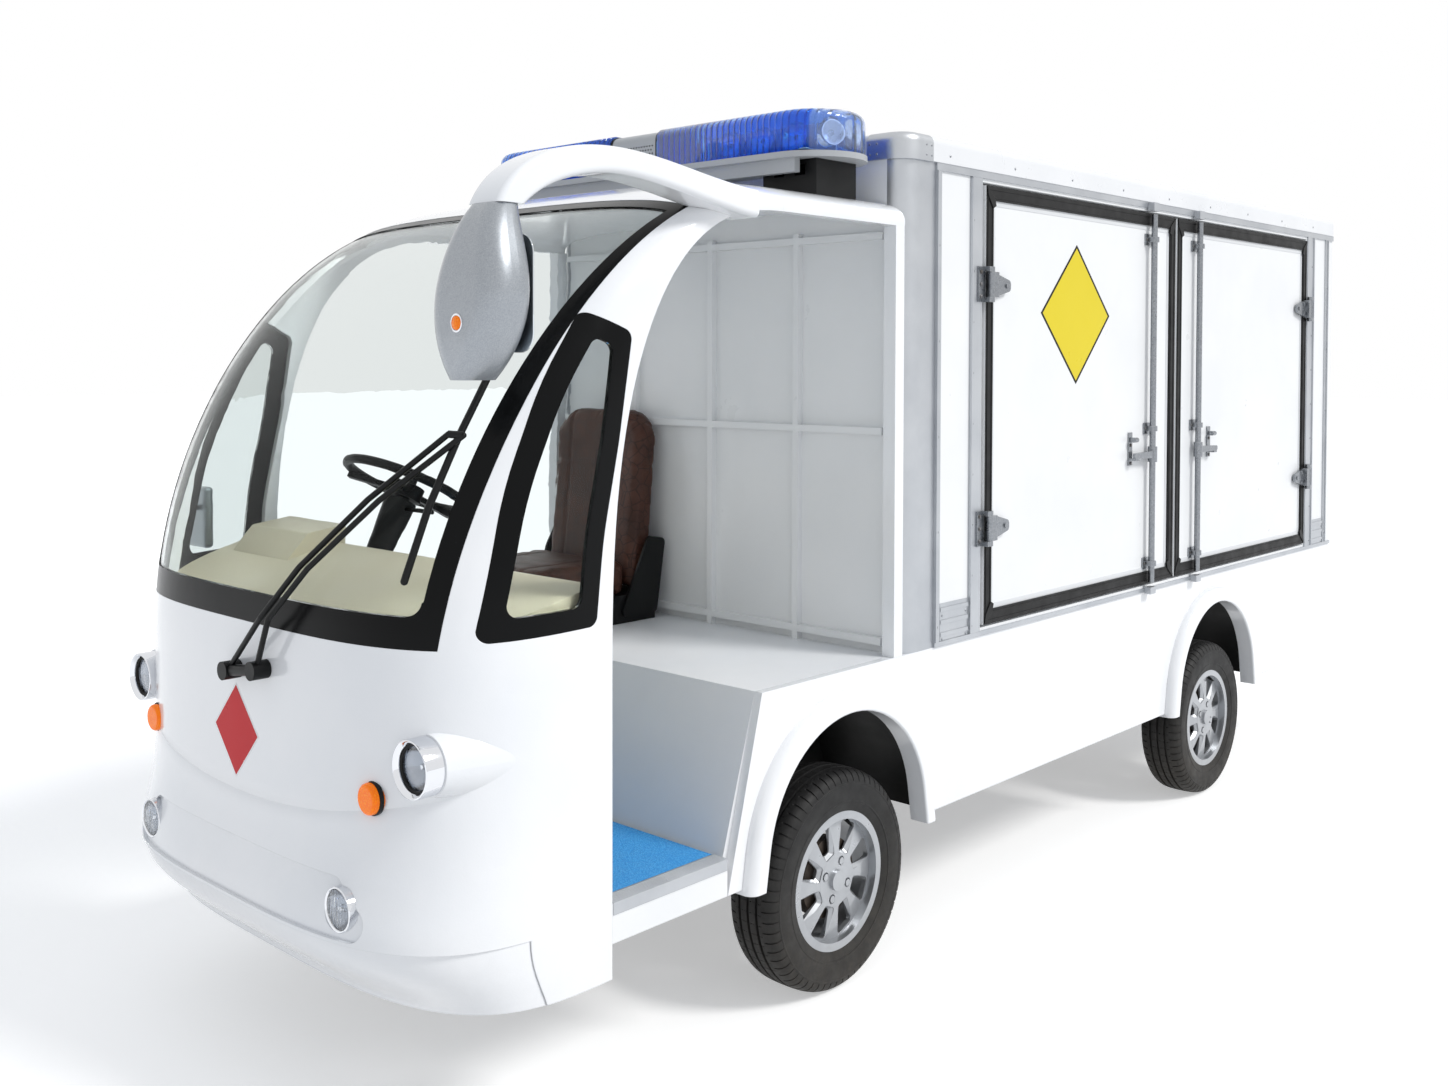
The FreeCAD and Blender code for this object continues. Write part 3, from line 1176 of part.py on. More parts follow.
def light_bar(block):
    """Blue beacon bar in two halves, with speaker, channel, lamp strip and black feet."""
    bar = bar_plan(0.0, *BAR_Z)
    top_edges = [edge for edge in bar.Edges if edge.BoundBox.ZMin > BAR_Z[1] - 0.01]
    bar = bar.makeFillet(BAR_ROUND, top_edges)
    y0, y1 = (behind(distance) for distance in BAR_Y)
    middle = box(-SPEAKER_HALF, SPEAKER_HALF, y0 - CLEAR, y1 + CLEAR, 0, BAR_Z[1] + CLEAR)
    save("light_bar", bar.cut(middle))
    speaker = box(BODY_GAP - SPEAKER_HALF, SPEAKER_HALF - BODY_GAP, y0 + SPEAKER_INSET, y1 - SPEAKER_INSET,
                  CHANNEL_Z[0], BAR_Z[1] - SPEAKER_INSET)
    speaker_edges = [edge for edge in speaker.Edges if edge.BoundBox.ZMin > BAR_Z[1] - SPEAKER_INSET - 0.01
                     and edge.BoundBox.XLength > SPEAKER_HALF]
    speaker = speaker.makeFillet(BAR_ROUND, speaker_edges)
    channel = bar_plan(CHANNEL_GROW, *CHANNEL_Z)
    strip = box(-STRIP_HALF, STRIP_HALF, behind(STRIP_Y[0]), behind(STRIP_Y[1]), *STRIP_Z)
    save("light_bar_base", join([channel, speaker, strip]))
    feet = []
    for name, side in SIDES:
        foot = box(side * BAR_FEET[0], side * BAR_FEET[1], behind(BAR_FOOT_Y[0]), behind(BAR_FOOT_Y[1]),
                   BAR_FOOT_BOTTOM, CHANNEL_Z[0] - BODY_GAP)
        middle_x = (BAR_FEET[0] + BAR_FEET[1]) / 2
        for x in (middle_x - BAR_FOOT_WINDOW, middle_x + BAR_FOOT_WINDOW):
            window = box(side * (x - BAR_FOOT_WINDOW / 2), side * (x + BAR_FOOT_WINDOW / 2),
                         behind(BAR_FOOT_Y[0]) - CLEAR, behind(BAR_FOOT_Y[1]) + CLEAR, BAR_FOOT_SILL,
                         CHANNEL_Z[0] - BATTEN / 2)
            foot = foot.cut(window)
        feet.append(foot.cut(block))
    save("light_bar_feet", *feet)


def cab_wall():
    """Battened wall between the cab and the box, up to the box roof."""
    y = behind(CAB_WALL)
    wide = HALF - POST_RADIUS
    shapes = [box(-wide, wide, y, behind(BOX_FRONT), DECK_Z, RAIL_BOTTOM)]
    shapes += [box(x - BATTEN / 2, x + BATTEN / 2, y - BATTEN, y + 1, DECK_Z, CANOPY_Z + DOORWAY_RISE)
               for x in BATTEN_X]
    shapes += [box(-wide, wide, y - BATTEN, y + 1, z, z + BATTEN) for z in BATTEN_RAIL_Z]
    save("cab_rear_wall", join(shapes))


def box_body():
    """Side walls round the doorways, load floor, rear wall with valance, and roof with rounded rails."""
    inside = HALF - BOX_WALL
    rear = behind(BOX_REAR)
    walls = []
    for name, side in SIDES:
        wall = box(side * inside, side * HALF, behind(POST_END), rear, DECK_Z, RAIL_BOTTOM)
        doorway = box(side * inside / 2, side * (HALF + CLEAR), behind(DOORWAY[0]), behind(DOORWAY[1]),
                      DOORWAY_BOTTOM, DOORWAY_TOP)
        walls.append(wall.cut(doorway))
    save("box_sides", *walls)
    save("load_floor", box(-inside, inside, behind(BOX_FRONT), rear - BOX_WALL, DECK_Z - LOAD_FLOOR,
                           DECK_Z + LOAD_FLOOR_LIFT))
    valance = box(SKIRT_WALL - HALF, HALF - SKIRT_WALL, rear - SKIRT_WALL, rear,
                  SKIRT_BOTTOM + VALANCE_LIFT, DECK_Z)
    upper = box(-inside, inside, rear - BOX_WALL, rear, DECK_Z, RAIL_BOTTOM)
    save("box_rear_wall", join([upper, valance]))
    outline = rectangle(-HALF - CAP_STAND, HALF + CAP_STAND, behind(CAB_WALL) - CAP_STAND, rear + CAP_STAND)
    corner = POST_RADIUS + CAP_STAND
    roof = plan_plate(outline, RAIL_BOTTOM, BOX_TOP, [corner, corner, CAP_ROUND, CAP_ROUND])
    top_edges = [edge for edge in roof.Edges if edge.BoundBox.ZMin > BOX_TOP - 0.01]
    save("box_roof", roof.makeFillet(CAP_ROUND - 1, top_edges))


def corner_post(side):
    """Front corner post with a quarter-round outside."""
    front, end = behind(CAB_WALL), behind(POST_END)
    inner = HALF - POST_RADIUS
    outline = [(inner, front), (HALF, front), (HALF, end), (HALF - BOX_WALL, end),
               (HALF - BOX_WALL, behind(BOX_FRONT)), (inner, behind(BOX_FRONT))]
    points = [(side * x, y) for x, y in outline]
    return plan_plate(points, DECK_Z, RAIL_BOTTOM, [0.0, POST_RADIUS - 0.01, 0.0, 0.0, 0.0, 0.0])


def rod_places():
    """Distances of the lock rods behind the front axle, by door."""
    middle = (DOORWAY[0] + DOORWAY[1]) / 2
    return {"front": middle - DOOR_MEET / 2 - ROD_OFFSET, "rear": middle + DOOR_MEET / 2 + ROD_OFFSET_REAR}


def frame_strip(side, start, end, ridge_start):
    """Upright strip of the door frame with a raised ridge."""
    face = side * HALF
    strip = box(face, face + side * FRAME_STAND, behind(start), behind(end), SILL_TOP, LINTEL_BOTTOM)
    ridge = box(face, face + side * FRAME_RIDGE_STAND, behind(ridge_start),
                behind(ridge_start) + FRAME_RIDGE, SILL_TOP, LINTEL_BOTTOM)
    return join([strip, ridge])


def kick_panel(side, start, end):
    """Ribbed panel at the foot of the wall."""
    face = side * HALF
    shapes = [box(face, face + side * FRAME_STAND / 2, behind(start), behind(end), SILL_TOP, KICK_TOP)]
    pitch = (KICK_TOP - SILL_TOP) / KICK_RIBS
    for step in range(KICK_RIBS):
        z = SILL_TOP + pitch * (step + 0.5)
        shapes.append(box(face, face + side * FRAME_STAND, behind(start), behind(end),
                          z - KICK_RIB / 2, z + KICK_RIB / 2))
    return join(shapes)


def box_frame():
    """Aluminium corner posts, door frame strips, kick panels and the keepers of the lock rods."""
    pieces = []
    for name, side in SIDES:
        face = side * HALF
        stand = side * (HALF + FRAME_STAND)
        pieces.append(corner_post(side))
        pieces += [frame_strip(side, *strip) for strip in FRAME_STRIPS]
        for z0, z1 in ((LINTEL_BOTTOM + BODY_GAP, RAIL_BOTTOM), (DECK_Z, SILL_TOP - BODY_GAP)):
            pieces.append(box(face, stand, behind(POST_END), behind(BOX_REAR), z0, z1))
        pieces += [kick_panel(side, *panel) for panel in KICK_PANELS]
        for distance in rod_places().values():
            y = behind(distance)
            for z0, z1 in (KEEPER_TOP, KEEPER_BOTTOM):
                pieces.append(box(stand + side * BODY_GAP, side * (HALF + KEEPER_STAND),
                                  y - KEEPER_WIDTH / 2, y + KEEPER_WIDTH / 2, z0, z1))
    save("box_frame", *pieces)


def hinge_line(end):
    """Y of a door's hinge pin."""
    if end == "front":
        return behind(DOORWAY[0]) + DOOR_GAP + HINGE_INSET
    return behind(DOORWAY[1]) - DOOR_GAP - HINGE_INSET


def fixed_hinge(side, y, away, z):
    """Fixed half of one hinge: plate on the frame, webs, end knuckles and pin."""
    x = side * (HALF + HINGE_OUT)
    half = HINGE_HEIGHT / 2
    low = z - half - HINGE_END
    edge = y + away * HINGE_EDGE
    web_x = side * (HALF + HINGE_OUT + HINGE_WEB_OUT)
    height = HINGE_END - BODY_GAP
    shapes = [cylinder((x, y, low), (0, 0, 1), HINGE_PIN, HINGE_HEIGHT + 2 * HINGE_END)]
    foot_x = side * (HALF + FRAME_STAND)
    shapes.append(box(foot_x, foot_x + side * HINGE_PLATE, edge, y + away * HINGE_REACH,
                      low, z + half + HINGE_END))
    for foot in (low, z + half + BODY_GAP):
        shapes.append(cylinder((x, y, foot), (0, 0, 1), HINGE_RADIUS, height))
        shapes.append(box(x - side * HINGE_WEB_OUT, web_x, y, edge + away * 4, foot, foot + height))
        shapes.append(box(foot_x, web_x, edge, edge + away * HINGE_WEB, foot, foot + height))
    return join(shapes)


def door_hinges():
    """Fixed halves of all hinges, let into the frame strips."""
    hinges = []
    for name, side in SIDES:
        for end, away in (("front", -1), ("rear", 1)):
            for z in HINGE_Z:
                hinges.append(fixed_hinge(side, hinge_line(end), away, z))
    save("door_hinges", *hinges)


def hinge_tongue(side, y, toward, z):
    """Moving half of one hinge: barrel, knuckle and a bolted tongue that narrows to a round nose."""
    half = HINGE_HEIGHT / 2
    low = z - half
    centre = (side * (HALF + HINGE_OUT), y, low)
    face = side * (HALF + SEAL_STAND)
    shapes = [cylinder(centre, (0, 0, 1), HINGE_RADIUS, HINGE_HEIGHT)]
    shapes.append(box(face, side * (HALF + HINGE_OUT + HINGE_WEB_OUT), y, y + toward * TONGUE_KNUCKLE,
                      low, low + HINGE_HEIGHT))
    outline = [(y, z - half), (y + toward * TONGUE_KNUCKLE, z - half),
               (y + toward * TONGUE_LENGTH, z - TONGUE_NOSE), (y + toward * TONGUE_LENGTH, z + TONGUE_NOSE),
               (y + toward * TONGUE_KNUCKLE, z + half), (y, z + half)]
    radii = [0.0, TONGUE_NOSE, TONGUE_NOSE - 1, TONGUE_NOSE - 1, TONGUE_NOSE, 0.0]
    shapes.append(side_plate(outline, face, face + side * TONGUE_THICKNESS, radii))
    for along, up in TONGUE_BOLTS:
        shapes.append(cylinder((side * HALF, y + toward * along, z + up), (side, 0, 0), BOLT_RADIUS,
                               SEAL_STAND + TONGUE_THICKNESS + BOLT_STAND))
    return join(shapes).cut(cylinder(centre, (0, 0, 1), HINGE_PIN + RUNNING_GAP, HINGE_HEIGHT))


def lock_gear(side, rod_y, toward):
    """Lock rod with guides and collars, its lever, and the retainer that holds the lever."""
    z0, z1 = DOORWAY_BOTTOM + DOOR_GAP, DOORWAY_TOP - DOOR_GAP
    face = side * HALF
    rod_x = side * (HALF + ROD_OUT)
    shapes = [cylinder((rod_x, rod_y, z0 + ROD_END_GAP), (0, 0, 1), ROD_RADIUS, z1 - z0 - 2 * ROD_END_GAP)]
    for z in GUIDE_Z:
        shapes.append(box(face, face + side * GUIDE_STAND, rod_y - GUIDE_LENGTH / 2, rod_y + GUIDE_LENGTH / 2,
                          z - GUIDE_HEIGHT / 2, z + GUIDE_HEIGHT / 2))
        shapes.append(box(face, rod_x, rod_y - COLLAR_RADIUS, rod_y + COLLAR_RADIUS,
                          z - COLLAR_HEIGHT / 2, z + COLLAR_HEIGHT / 2))
        shapes.append(cylinder((rod_x, rod_y, z - COLLAR_HEIGHT / 2), (0, 0, 1), COLLAR_RADIUS,
                               COLLAR_HEIGHT))
    shapes.append(cylinder((rod_x, rod_y, LEVER_Z - LEVER_HUB_HEIGHT / 2), (0, 0, 1), COLLAR_RADIUS,
                           LEVER_HUB_HEIGHT))
    tip = rod_y - toward * LEVER_LENGTH
    lever = side_plate([(rod_y, LEVER_Z - LEVER_HEIGHT / 2), (tip, LEVER_Z - LEVER_HEIGHT / 3),
                        (tip, LEVER_Z + LEVER_HEIGHT / 3), (rod_y, LEVER_Z + LEVER_HEIGHT / 2)],
                       rod_x, rod_x + side * LEVER_THICKNESS, [0.0, 6.0, 6.0, 0.0])
    shapes.append(lever)
    place = rod_y - toward * RETAINER_OFFSET
    sides_y = (place - RETAINER_WIDTH / 2, place + RETAINER_WIDTH / 2)
    shapes.append(box(face, face + side * RETAINER_PLATE, sides_y[0], sides_y[1], *RETAINER_Z))
    shelf_z = LEVER_Z - LEVER_HEIGHT / 3
    shapes.append(box(face, rod_x + side * LEVER_THICKNESS, sides_y[0], sides_y[1], shelf_z - 8, shelf_z))
    hook_z = RETAINER_Z[1] - HOOK_HEIGHT
    shapes.append(box(face, rod_x, place - RETAINER_PLATE, place + RETAINER_PLATE,
                      hook_z, hook_z + HOOK_HEIGHT / 2))
    shapes.append(cylinder((rod_x, sides_y[0], hook_z + HOOK_HEIGHT / 4), (0, 1, 0), HOOK_HEIGHT / 4,
                           RETAINER_WIDTH))
    return join(shapes)


def door_leaf(side, y0, y1):
    """Door panel with a raised seal all round."""
    z0, z1 = DOORWAY_BOTTOM + DOOR_GAP, DOORWAY_TOP - DOOR_GAP
    panel = box(side * (HALF - BOX_WALL), side * HALF, y0, y1, z0, z1)
    seal = box(side * HALF, side * (HALF + SEAL_STAND), y0, y1, z0, z1)
    inside = box(side * (HALF - 1), side * (HALF + CLEAR), y0 + SEAL_WIDTH, y1 - SEAL_WIDTH,
                 z0 + SEAL_WIDTH, z1 - SEAL_WIDTH)
    return join([panel, seal.cut(inside)])


def doors():
    """Four side doors, each a leaf and the gear that it carries."""
    middle = behind((DOORWAY[0] + DOORWAY[1]) / 2)
    spans = {"front": (behind(DOORWAY[0]) + DOOR_GAP, middle - DOOR_MEET / 2),
             "rear": (middle + DOOR_MEET / 2, behind(DOORWAY[1]) - DOOR_GAP)}
    for name, side in SIDES:
        for end, toward in (("front", 1), ("rear", -1)):
            gear = [hinge_tongue(side, hinge_line(end), toward, z) for z in HINGE_Z]
            gear.append(lock_gear(side, behind(rod_places()[end]), toward))
            save("door_" + name + "_" + end, door_leaf(side, *spans[end]))
            save("door_gear_" + name + "_" + end, *gear)


outer_block = loft_block(all_stations(), -BODY_GAP)
inner_block = loft_block(all_stations(), SHELL + BODY_GAP)
roof_block = loft_block(roof_stations(), -BODY_GAP)
lamp_blocks = lamp_seats()
screen_opening = screen_block(SCREEN_LOW, SCREEN_HIGH, 0.0)
cowl_shell = front_cowl(inner_block, screen_opening, lamp_blocks)
cab_roof()
glazing(screen_opening)
lamps()
wheels()
knuckles()
front_axle()
rear_axle()
leaf_springs()
chassis_frame()
deck_bearers()
rear_bumper()
battery_pack()
skirts()
wheel_liners()
cab_floor()
seat_platform()
seat()
dash = dashboard(inner_block, lamp_blocks)
steering(dash)
wiper(outer_block)
mirror_arm(outer_block, cowl_shell)
mirror_heads(outer_block)
light_bar(roof_block)
cab_wall()
box_body()
box_frame()
door_hinges()
doors()
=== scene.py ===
import json
import math

import bmesh
import bpy
from mathutils import Matrix, Vector
from mathutils.bvhtree import BVHTree


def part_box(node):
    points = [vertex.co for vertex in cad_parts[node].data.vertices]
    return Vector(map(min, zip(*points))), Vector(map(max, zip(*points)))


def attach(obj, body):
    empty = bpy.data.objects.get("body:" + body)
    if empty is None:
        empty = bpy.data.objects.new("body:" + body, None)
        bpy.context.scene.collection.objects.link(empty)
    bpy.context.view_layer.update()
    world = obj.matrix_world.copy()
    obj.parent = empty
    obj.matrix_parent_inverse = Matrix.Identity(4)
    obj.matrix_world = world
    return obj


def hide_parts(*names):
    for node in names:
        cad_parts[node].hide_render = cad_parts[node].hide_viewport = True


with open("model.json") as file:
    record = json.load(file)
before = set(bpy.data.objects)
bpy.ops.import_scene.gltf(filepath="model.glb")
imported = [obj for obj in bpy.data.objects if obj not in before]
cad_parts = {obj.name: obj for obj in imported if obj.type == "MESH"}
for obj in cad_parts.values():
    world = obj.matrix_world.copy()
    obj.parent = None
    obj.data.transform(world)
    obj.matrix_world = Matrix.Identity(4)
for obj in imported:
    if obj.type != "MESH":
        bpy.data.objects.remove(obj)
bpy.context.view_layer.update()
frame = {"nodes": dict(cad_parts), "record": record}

# The photograph's camera, in metres and degrees
CAMERA_PLACE = (2.938804, -3.972799, 1.655844)
CAMERA_TURN = 42.682
CAMERA_TILT = 1.465
CAMERA_ROLL = 0.130
CAMERA_LENS = 34.55
CAMERA_SHIFT = -0.1017
CAMERA_REACH = 200.0

# The daylight: where the sun stands as seen from the vehicle, its strength and width, and the sky
SUN_FROM = (0.68, 0.28, 0.68)
SUN_STRENGTH = 2.1
SUN_WIDTH = 16.0
SUN_COLOUR = (1.0, 0.985, 0.96)
SKY_STRENGTH = 0.66
WHITE = (1.0, 1.0, 1.0, 1.0)

# The floor: half its width in metres, its grey, and the light that lifts it to white
FLOOR_REACH = 60.0
FLOOR_GREY = (0.8, 0.8, 0.8, 1.0)
FLOOR_LIFT = 0.42

# The moulded valley on the nose and the ribs of the beacon domes, in metres
VALLEY_HEIGHT = 0.677
VALLEY_CURVE = 0.215
VALLEY_HALF_WIDTH = 0.032
VALLEY_DEPTH = 0.005
VALLEY_FRONT = -2.36
VALLEY_FADE = 0.10
DOME_RIB_PITCH = 0.021
END_LAMP_FROM = 0.637
END_LAMP_FADE = 0.004


# Colours and node trees

def linear(value):
    """One display value of 0 to 255, in linear light."""
    share = value / 255.0
    return share / 12.92 if share <= 0.04045 else ((share + 0.055) / 1.055) ** 2.4


def display(red, green, blue):
    """A colour given as display values of 0 to 255, in linear light."""
    return (linear(red), linear(green), linear(blue), 1.0)


def give(tree, value, socket):
    """Gives a socket its value, by a link where the value is a socket itself."""
    if isinstance(value, bpy.types.NodeSocket):
        tree.links.new(value, socket)
    else:
        socket.default_value = value


def add(tree, kind, values=None, **settings):
    """A node of that kind, with its settings and the values of its inputs."""
    node = tree.nodes.new(kind)
    for name, value in settings.items():
        setattr(node, name, value)
    for name, value in (values or {}).items():
        give(tree, value, node.inputs[name])
    return node


def math_node(tree, operation, first, second=0.0):
    """The result of one sum on two numbers or sockets, kept from 0 to 1."""
    node = add(tree, "ShaderNodeMath", {0: first, 1: second}, operation=operation, use_clamp=True)
    return node.outputs[0]


def plain_sum(tree, operation, first, second=0.0):
    """The result of one sum on two numbers or sockets, with no limit."""
    return add(tree, "ShaderNodeMath", {0: first, 1: second}, operation=operation).outputs[0]


def product(tree, first, *others):
    """Numbers or sockets multiplied together, kept from 0 to 1."""
    for other in others:
        first = math_node(tree, "MULTIPLY", first, other)
    return first


def vector_sum(tree, operation, values):
    """The result of one sum on vectors."""
    return add(tree, "ShaderNodeVectorMath", values, operation=operation).outputs["Vector"]


def mix_colours(tree, share, first, second):
    """One colour going over to another."""
    values = {"Factor": share, 6: first, 7: second}
    return add(tree, "ShaderNodeMix", values, data_type="RGBA").outputs[2]


def mix_shaders(tree, share, first, second):
    """One shader going over to another."""
    return add(tree, "ShaderNodeMixShader", {0: share, 1: first, 2: second}).outputs[0]


def map_range(tree, value, low, high, start=0.0, end=1.0):
    """The value, with its stretch from low to high spread from start to end."""
    values = {"Value": value, "From Min": low, "From Max": high, "To Min": start, "To Max": end}
    return add(tree, "ShaderNodeMapRange", values).outputs["Result"]


def object_place(tree):
    """The place on the piece, in metres."""
    return tree.nodes.new("ShaderNodeTexCoord").outputs["Object"]


def object_axes(tree):
    """The place on the piece as separate X, Y and Z."""
    return add(tree, "ShaderNodeSeparateXYZ", {0: object_place(tree)}).outputs


def noise(tree, vector, scale, detail=3.0, roughness=0.55):
    """A cloudy pattern of that scale."""
    values = {"Vector": vector, "Scale": scale, "Detail": detail, "Roughness": roughness}
    return add(tree, "ShaderNodeTexNoise", values).outputs["Fac"]


def cells(tree, vector, scale, feature="DISTANCE_TO_EDGE"):
    """A pattern of cells of that scale."""
    return add(tree, "ShaderNodeTexVoronoi", {"Vector": vector, "Scale": scale}, feature=feature).outputs


def rounded_normal(tree, radius):
    """The direction of the surface, as if its edges were rounded to a radius."""
    return add(tree, "ShaderNodeBevel", {"Radius": radius}, samples=4).outputs["Normal"]


# Shared effects

SOCKETS = {"colour": "NodeSocketColor", "value": "NodeSocketFloat", "vector": "NodeSocketVector"}


def effect_start(name, inputs):
    """An empty shader group with named inputs, and the sockets that give them."""
    tree = bpy.data.node_groups.new(name, "ShaderNodeTree")
    for label, (kind, start) in inputs.items():
        socket = tree.interface.new_socket(name=label, in_out="INPUT", socket_type=SOCKETS[kind])
        socket.default_value = start
    return tree, tree.nodes.new("NodeGroupInput").outputs


def effect_end(tree, results):
    """Gives a shader group its named outputs and returns it."""
    for label in results:
        kind = "colour" if label == "Colour" else "value"
        tree.interface.new_socket(name=label, in_out="OUTPUT", socket_type=SOCKETS[kind])
    end = tree.nodes.new("NodeGroupOutput")
    for label, value in results.items():
        tree.links.new(value, end.inputs[label])
    return tree


def make_shade_drift():
    """Broad, weak drift of one colour towards another, as on any large painted face."""
    tree, given = effect_start("shade drift", {
        "Colour": ("colour", (0.8, 0.8, 0.8, 1.0)),
        "Other Colour": ("colour", (0.7, 0.7, 0.7, 1.0)),
        "Scale": ("value", 2.0),
        "Amount": ("value", 0.5),
    })
    cloud = noise(tree, object_place(tree), given["Scale"], 4.0)
    mask = product(tree, map_range(tree, cloud, 0.35, 0.68), given["Amount"])
    colour = mix_colours(tree, mask, given["Colour"], given["Other Colour"])
    return effect_end(tree, {"Colour": colour})


def make_road_dust():
    """Dust thrown up from the road: thick near the ground, gone above High."""
    tree, given = effect_start("road dust", {
        "Colour": ("colour", (0.8, 0.8, 0.8, 1.0)),
        "Dust Colour": ("colour", display(150, 138, 120)),
        "High": ("value", 0.9),
        "Amount": ("value", 0.3),
    })
    place = object_place(tree)
    height = object_axes(tree)["Z"]
    fall = map_range(tree, height, 0.05, given["High"], 1.0, 0.0)
    speckle = map_range(tree, noise(tree, place, 38.0, 5.0, 0.7), 0.3, 0.75, 0.25, 1.0)
    cloud = map_range(tree, noise(tree, place, 3.0, 3.0), 0.3, 0.7, 0.3, 1.0)
    mask = product(tree, fall, fall, speckle, cloud, given["Amount"])
    colour = mix_colours(tree, mask, given["Colour"], given["Dust Colour"])
    return effect_end(tree, {"Colour": colour, "Mask": mask})


def make_gloss_drift():
    """Roughness that wanders between two values, as on a face that has been wiped."""
    tree, given = effect_start("gloss drift", {
        "Low": ("value", 0.2),
        "High": ("value", 0.35),
        "Scale": ("value", 6.0),
    })
    cloud = noise(tree, object_place(tree), given["Scale"], 5.0, 0.6)
    return effect_end(tree, {"Roughness": map_range(tree, cloud, 0.3, 0.7, given["Low"], given["High"])})


def make_fine_grain():
    """Small raised cells: moulded plastic grain, orange peel in paint or cast skin."""
    tree, given = effect_start("fine grain", {
        "Scale": ("value", 400.0),
        "Waves": ("value", 3.0),
        "Waviness": ("value", 0.3),
    })
    place = object_place(tree)
    grain = product(tree, noise(tree, place, given["Scale"], 2.0), 0.5)
    waves = product(tree, noise(tree, place, given["Waves"], 1.0), given["Waviness"])
    return effect_end(tree, {"Height": math_node(tree, "ADD", grain, waves)})


def make_drawn_lines():
    """Fine lines along the way that a profile was drawn or brushed."""
    tree, given = effect_start("drawn lines", {
        "Stretch": ("vector", (1.0, 1.0, 1.0)),
        "Scale": ("value", 300.0),
    })
    long_place = vector_sum(tree, "MULTIPLY", {0: object_place(tree), 1: given["Stretch"]})
    return effect_end(tree, {"Height": noise(tree, long_place, given["Scale"], 3.0, 0.7)})


def make_edge_rub():
    """Where an edge stands out and gets rubbed: white on sharp outer edges."""
    tree, given = effect_start("edge rub", {
        "Radius": ("value", 0.003),
        "Amount": ("value", 0.6),
    })
    plain = add(tree, "ShaderNodeNewGeometry").outputs["Normal"]
    both = {0: rounded_normal(tree, given["Radius"]), 1: plain}
    likeness = add(tree, "ShaderNodeVectorMath", both, operation="DOT_PRODUCT").outputs["Value"]
    edge = map_range(tree, likeness, 0.97, 0.80)
    chips = map_range(tree, noise(tree, object_place(tree), 90.0, 4.0, 0.7), 0.42, 0.58)
    return effect_end(tree, {"Mask": product(tree, edge, chips, given["Amount"])})


def make_hide_grain():
    """The pebbled cells and the soft creases of hide; Crease also marks where the colour is darkened as
    painted shade.
    """
    tree, given = effect_start("hide grain", {
        "Scale": ("value", 520.0),
        "Crease Scale": ("value", 22.0),
    })
    place = object_place(tree)
    offset = vector_sum(tree, "SCALE", {0: noise(tree, place, 60.0, 2.0), "Scale": 0.004})
    bent = vector_sum(tree, "ADD", {0: place, 1: offset})
    pebbles = map_range(tree, cells(tree, bent, given["Scale"])["Distance"], 0.0, 0.25)
    fold = map_range(tree, cells(tree, bent, given["Crease Scale"])["Distance"], 0.0, 0.06)
    height = math_node(tree, "ADD", product(tree, pebbles, 0.5), product(tree, fold, 0.4))
    return effect_end(tree, {"Height": height, "Crease": fold})


EFFECTS = {tree.name: tree for tree in (
    make_shade_drift(), make_road_dust(), make_gloss_drift(), make_fine_grain(), make_drawn_lines(),
    make_edge_rub(), make_hide_grain(),
)}


# Materials: colours are display values of 0 to 255, grain and edges are in metres

class Finish:
    """One material around its Principled shader, put together step by step."""

    def __init__(self, name, roughness, metallic=0.0, **plain):
        """Starts a material with plain values for its shader."""
        self.material = bpy.data.materials.new(name)
        self.material.use_nodes = True
        self.tree = self.material.node_tree
        self.shader = self.tree.nodes["Principled BSDF"]
        self.output = self.tree.nodes["Material Output"]
        self.normal = None
        for label, value in {"Roughness": roughness, "Metallic": metallic, **plain}.items():
            self.shader.inputs[label.replace("_", " ")].default_value = value

    def effect(self, name, **values):
        """Places a shared effect with this material's own values."""
        node = self.tree.nodes.new("ShaderNodeGroup")
        node.node_tree = EFFECTS[name]
        for label, value in values.items():
            give(self.tree, value, node.inputs[label.replace("_", " ")])
        return node.outputs

    def drift(self, colour, shade, scale, amount):
        """A colour that drifts towards a second one."""
        values = {"Colour": display(*colour), "Other_Colour": display(*shade)}
        return self.effect("shade drift", Scale=scale, Amount=amount, **values)["Colour"]

    def mix(self, share, first, second):
        """A colour going over to another, each a socket or display values."""
        pair = [value if isinstance(value, bpy.types.NodeSocket) else display(*value)
                for value in (first, second)]
        return mix_colours(self.tree, share, *pair)

    def feed(self, socket_name, value):
        """Drives one of the shader's inputs."""
        self.tree.links.new(value, self.shader.inputs[socket_name])

    def gloss(self, low, high, scale):
        """Lets the roughness wander between two values."""
        self.feed("Roughness", self.effect("gloss drift", Low=low, High=high, Scale=scale)["Roughness"])

    def bump(self, height, distance, edge=0.0):
        """Raises the surface by up to a distance, over the bumps before it or over rounded edges."""
        node = add(self.tree, "ShaderNodeBump", {"Distance": distance, "Height": height})
        if edge:
            self.normal = rounded_normal(self.tree, edge)
        if self.normal:
            self.tree.links.new(self.normal, node.inputs["Normal"])
        self.normal = node.outputs["Normal"]
        self.feed("Normal", self.normal)

    def grain(self, distance, scale, waves, waviness, edge=0.0):
        """Raises a fine grain by up to a distance."""
        values = {"Scale": scale, "Waves": waves, "Waviness": waviness}
        self.bump(self.effect("fine grain", **values)["Height"], distance, edge)

    def lets_lamps_through(self, tint):
        """Rays from the lamps pass straight through, tinted, so that what is behind the glass is lit."""
        clear = add(self.tree, "ShaderNodeBsdfTransparent", {"Color": tint}).outputs[0]
        shadow_ray = self.tree.nodes.new("ShaderNodeLightPath").outputs["Is Shadow Ray"]
        mixed = mix_shaders(self.tree, shadow_ray, self.shader.outputs[0], clear)
        self.tree.links.new(mixed, self.output.inputs["Surface"])


DUST_TOP = 0.9


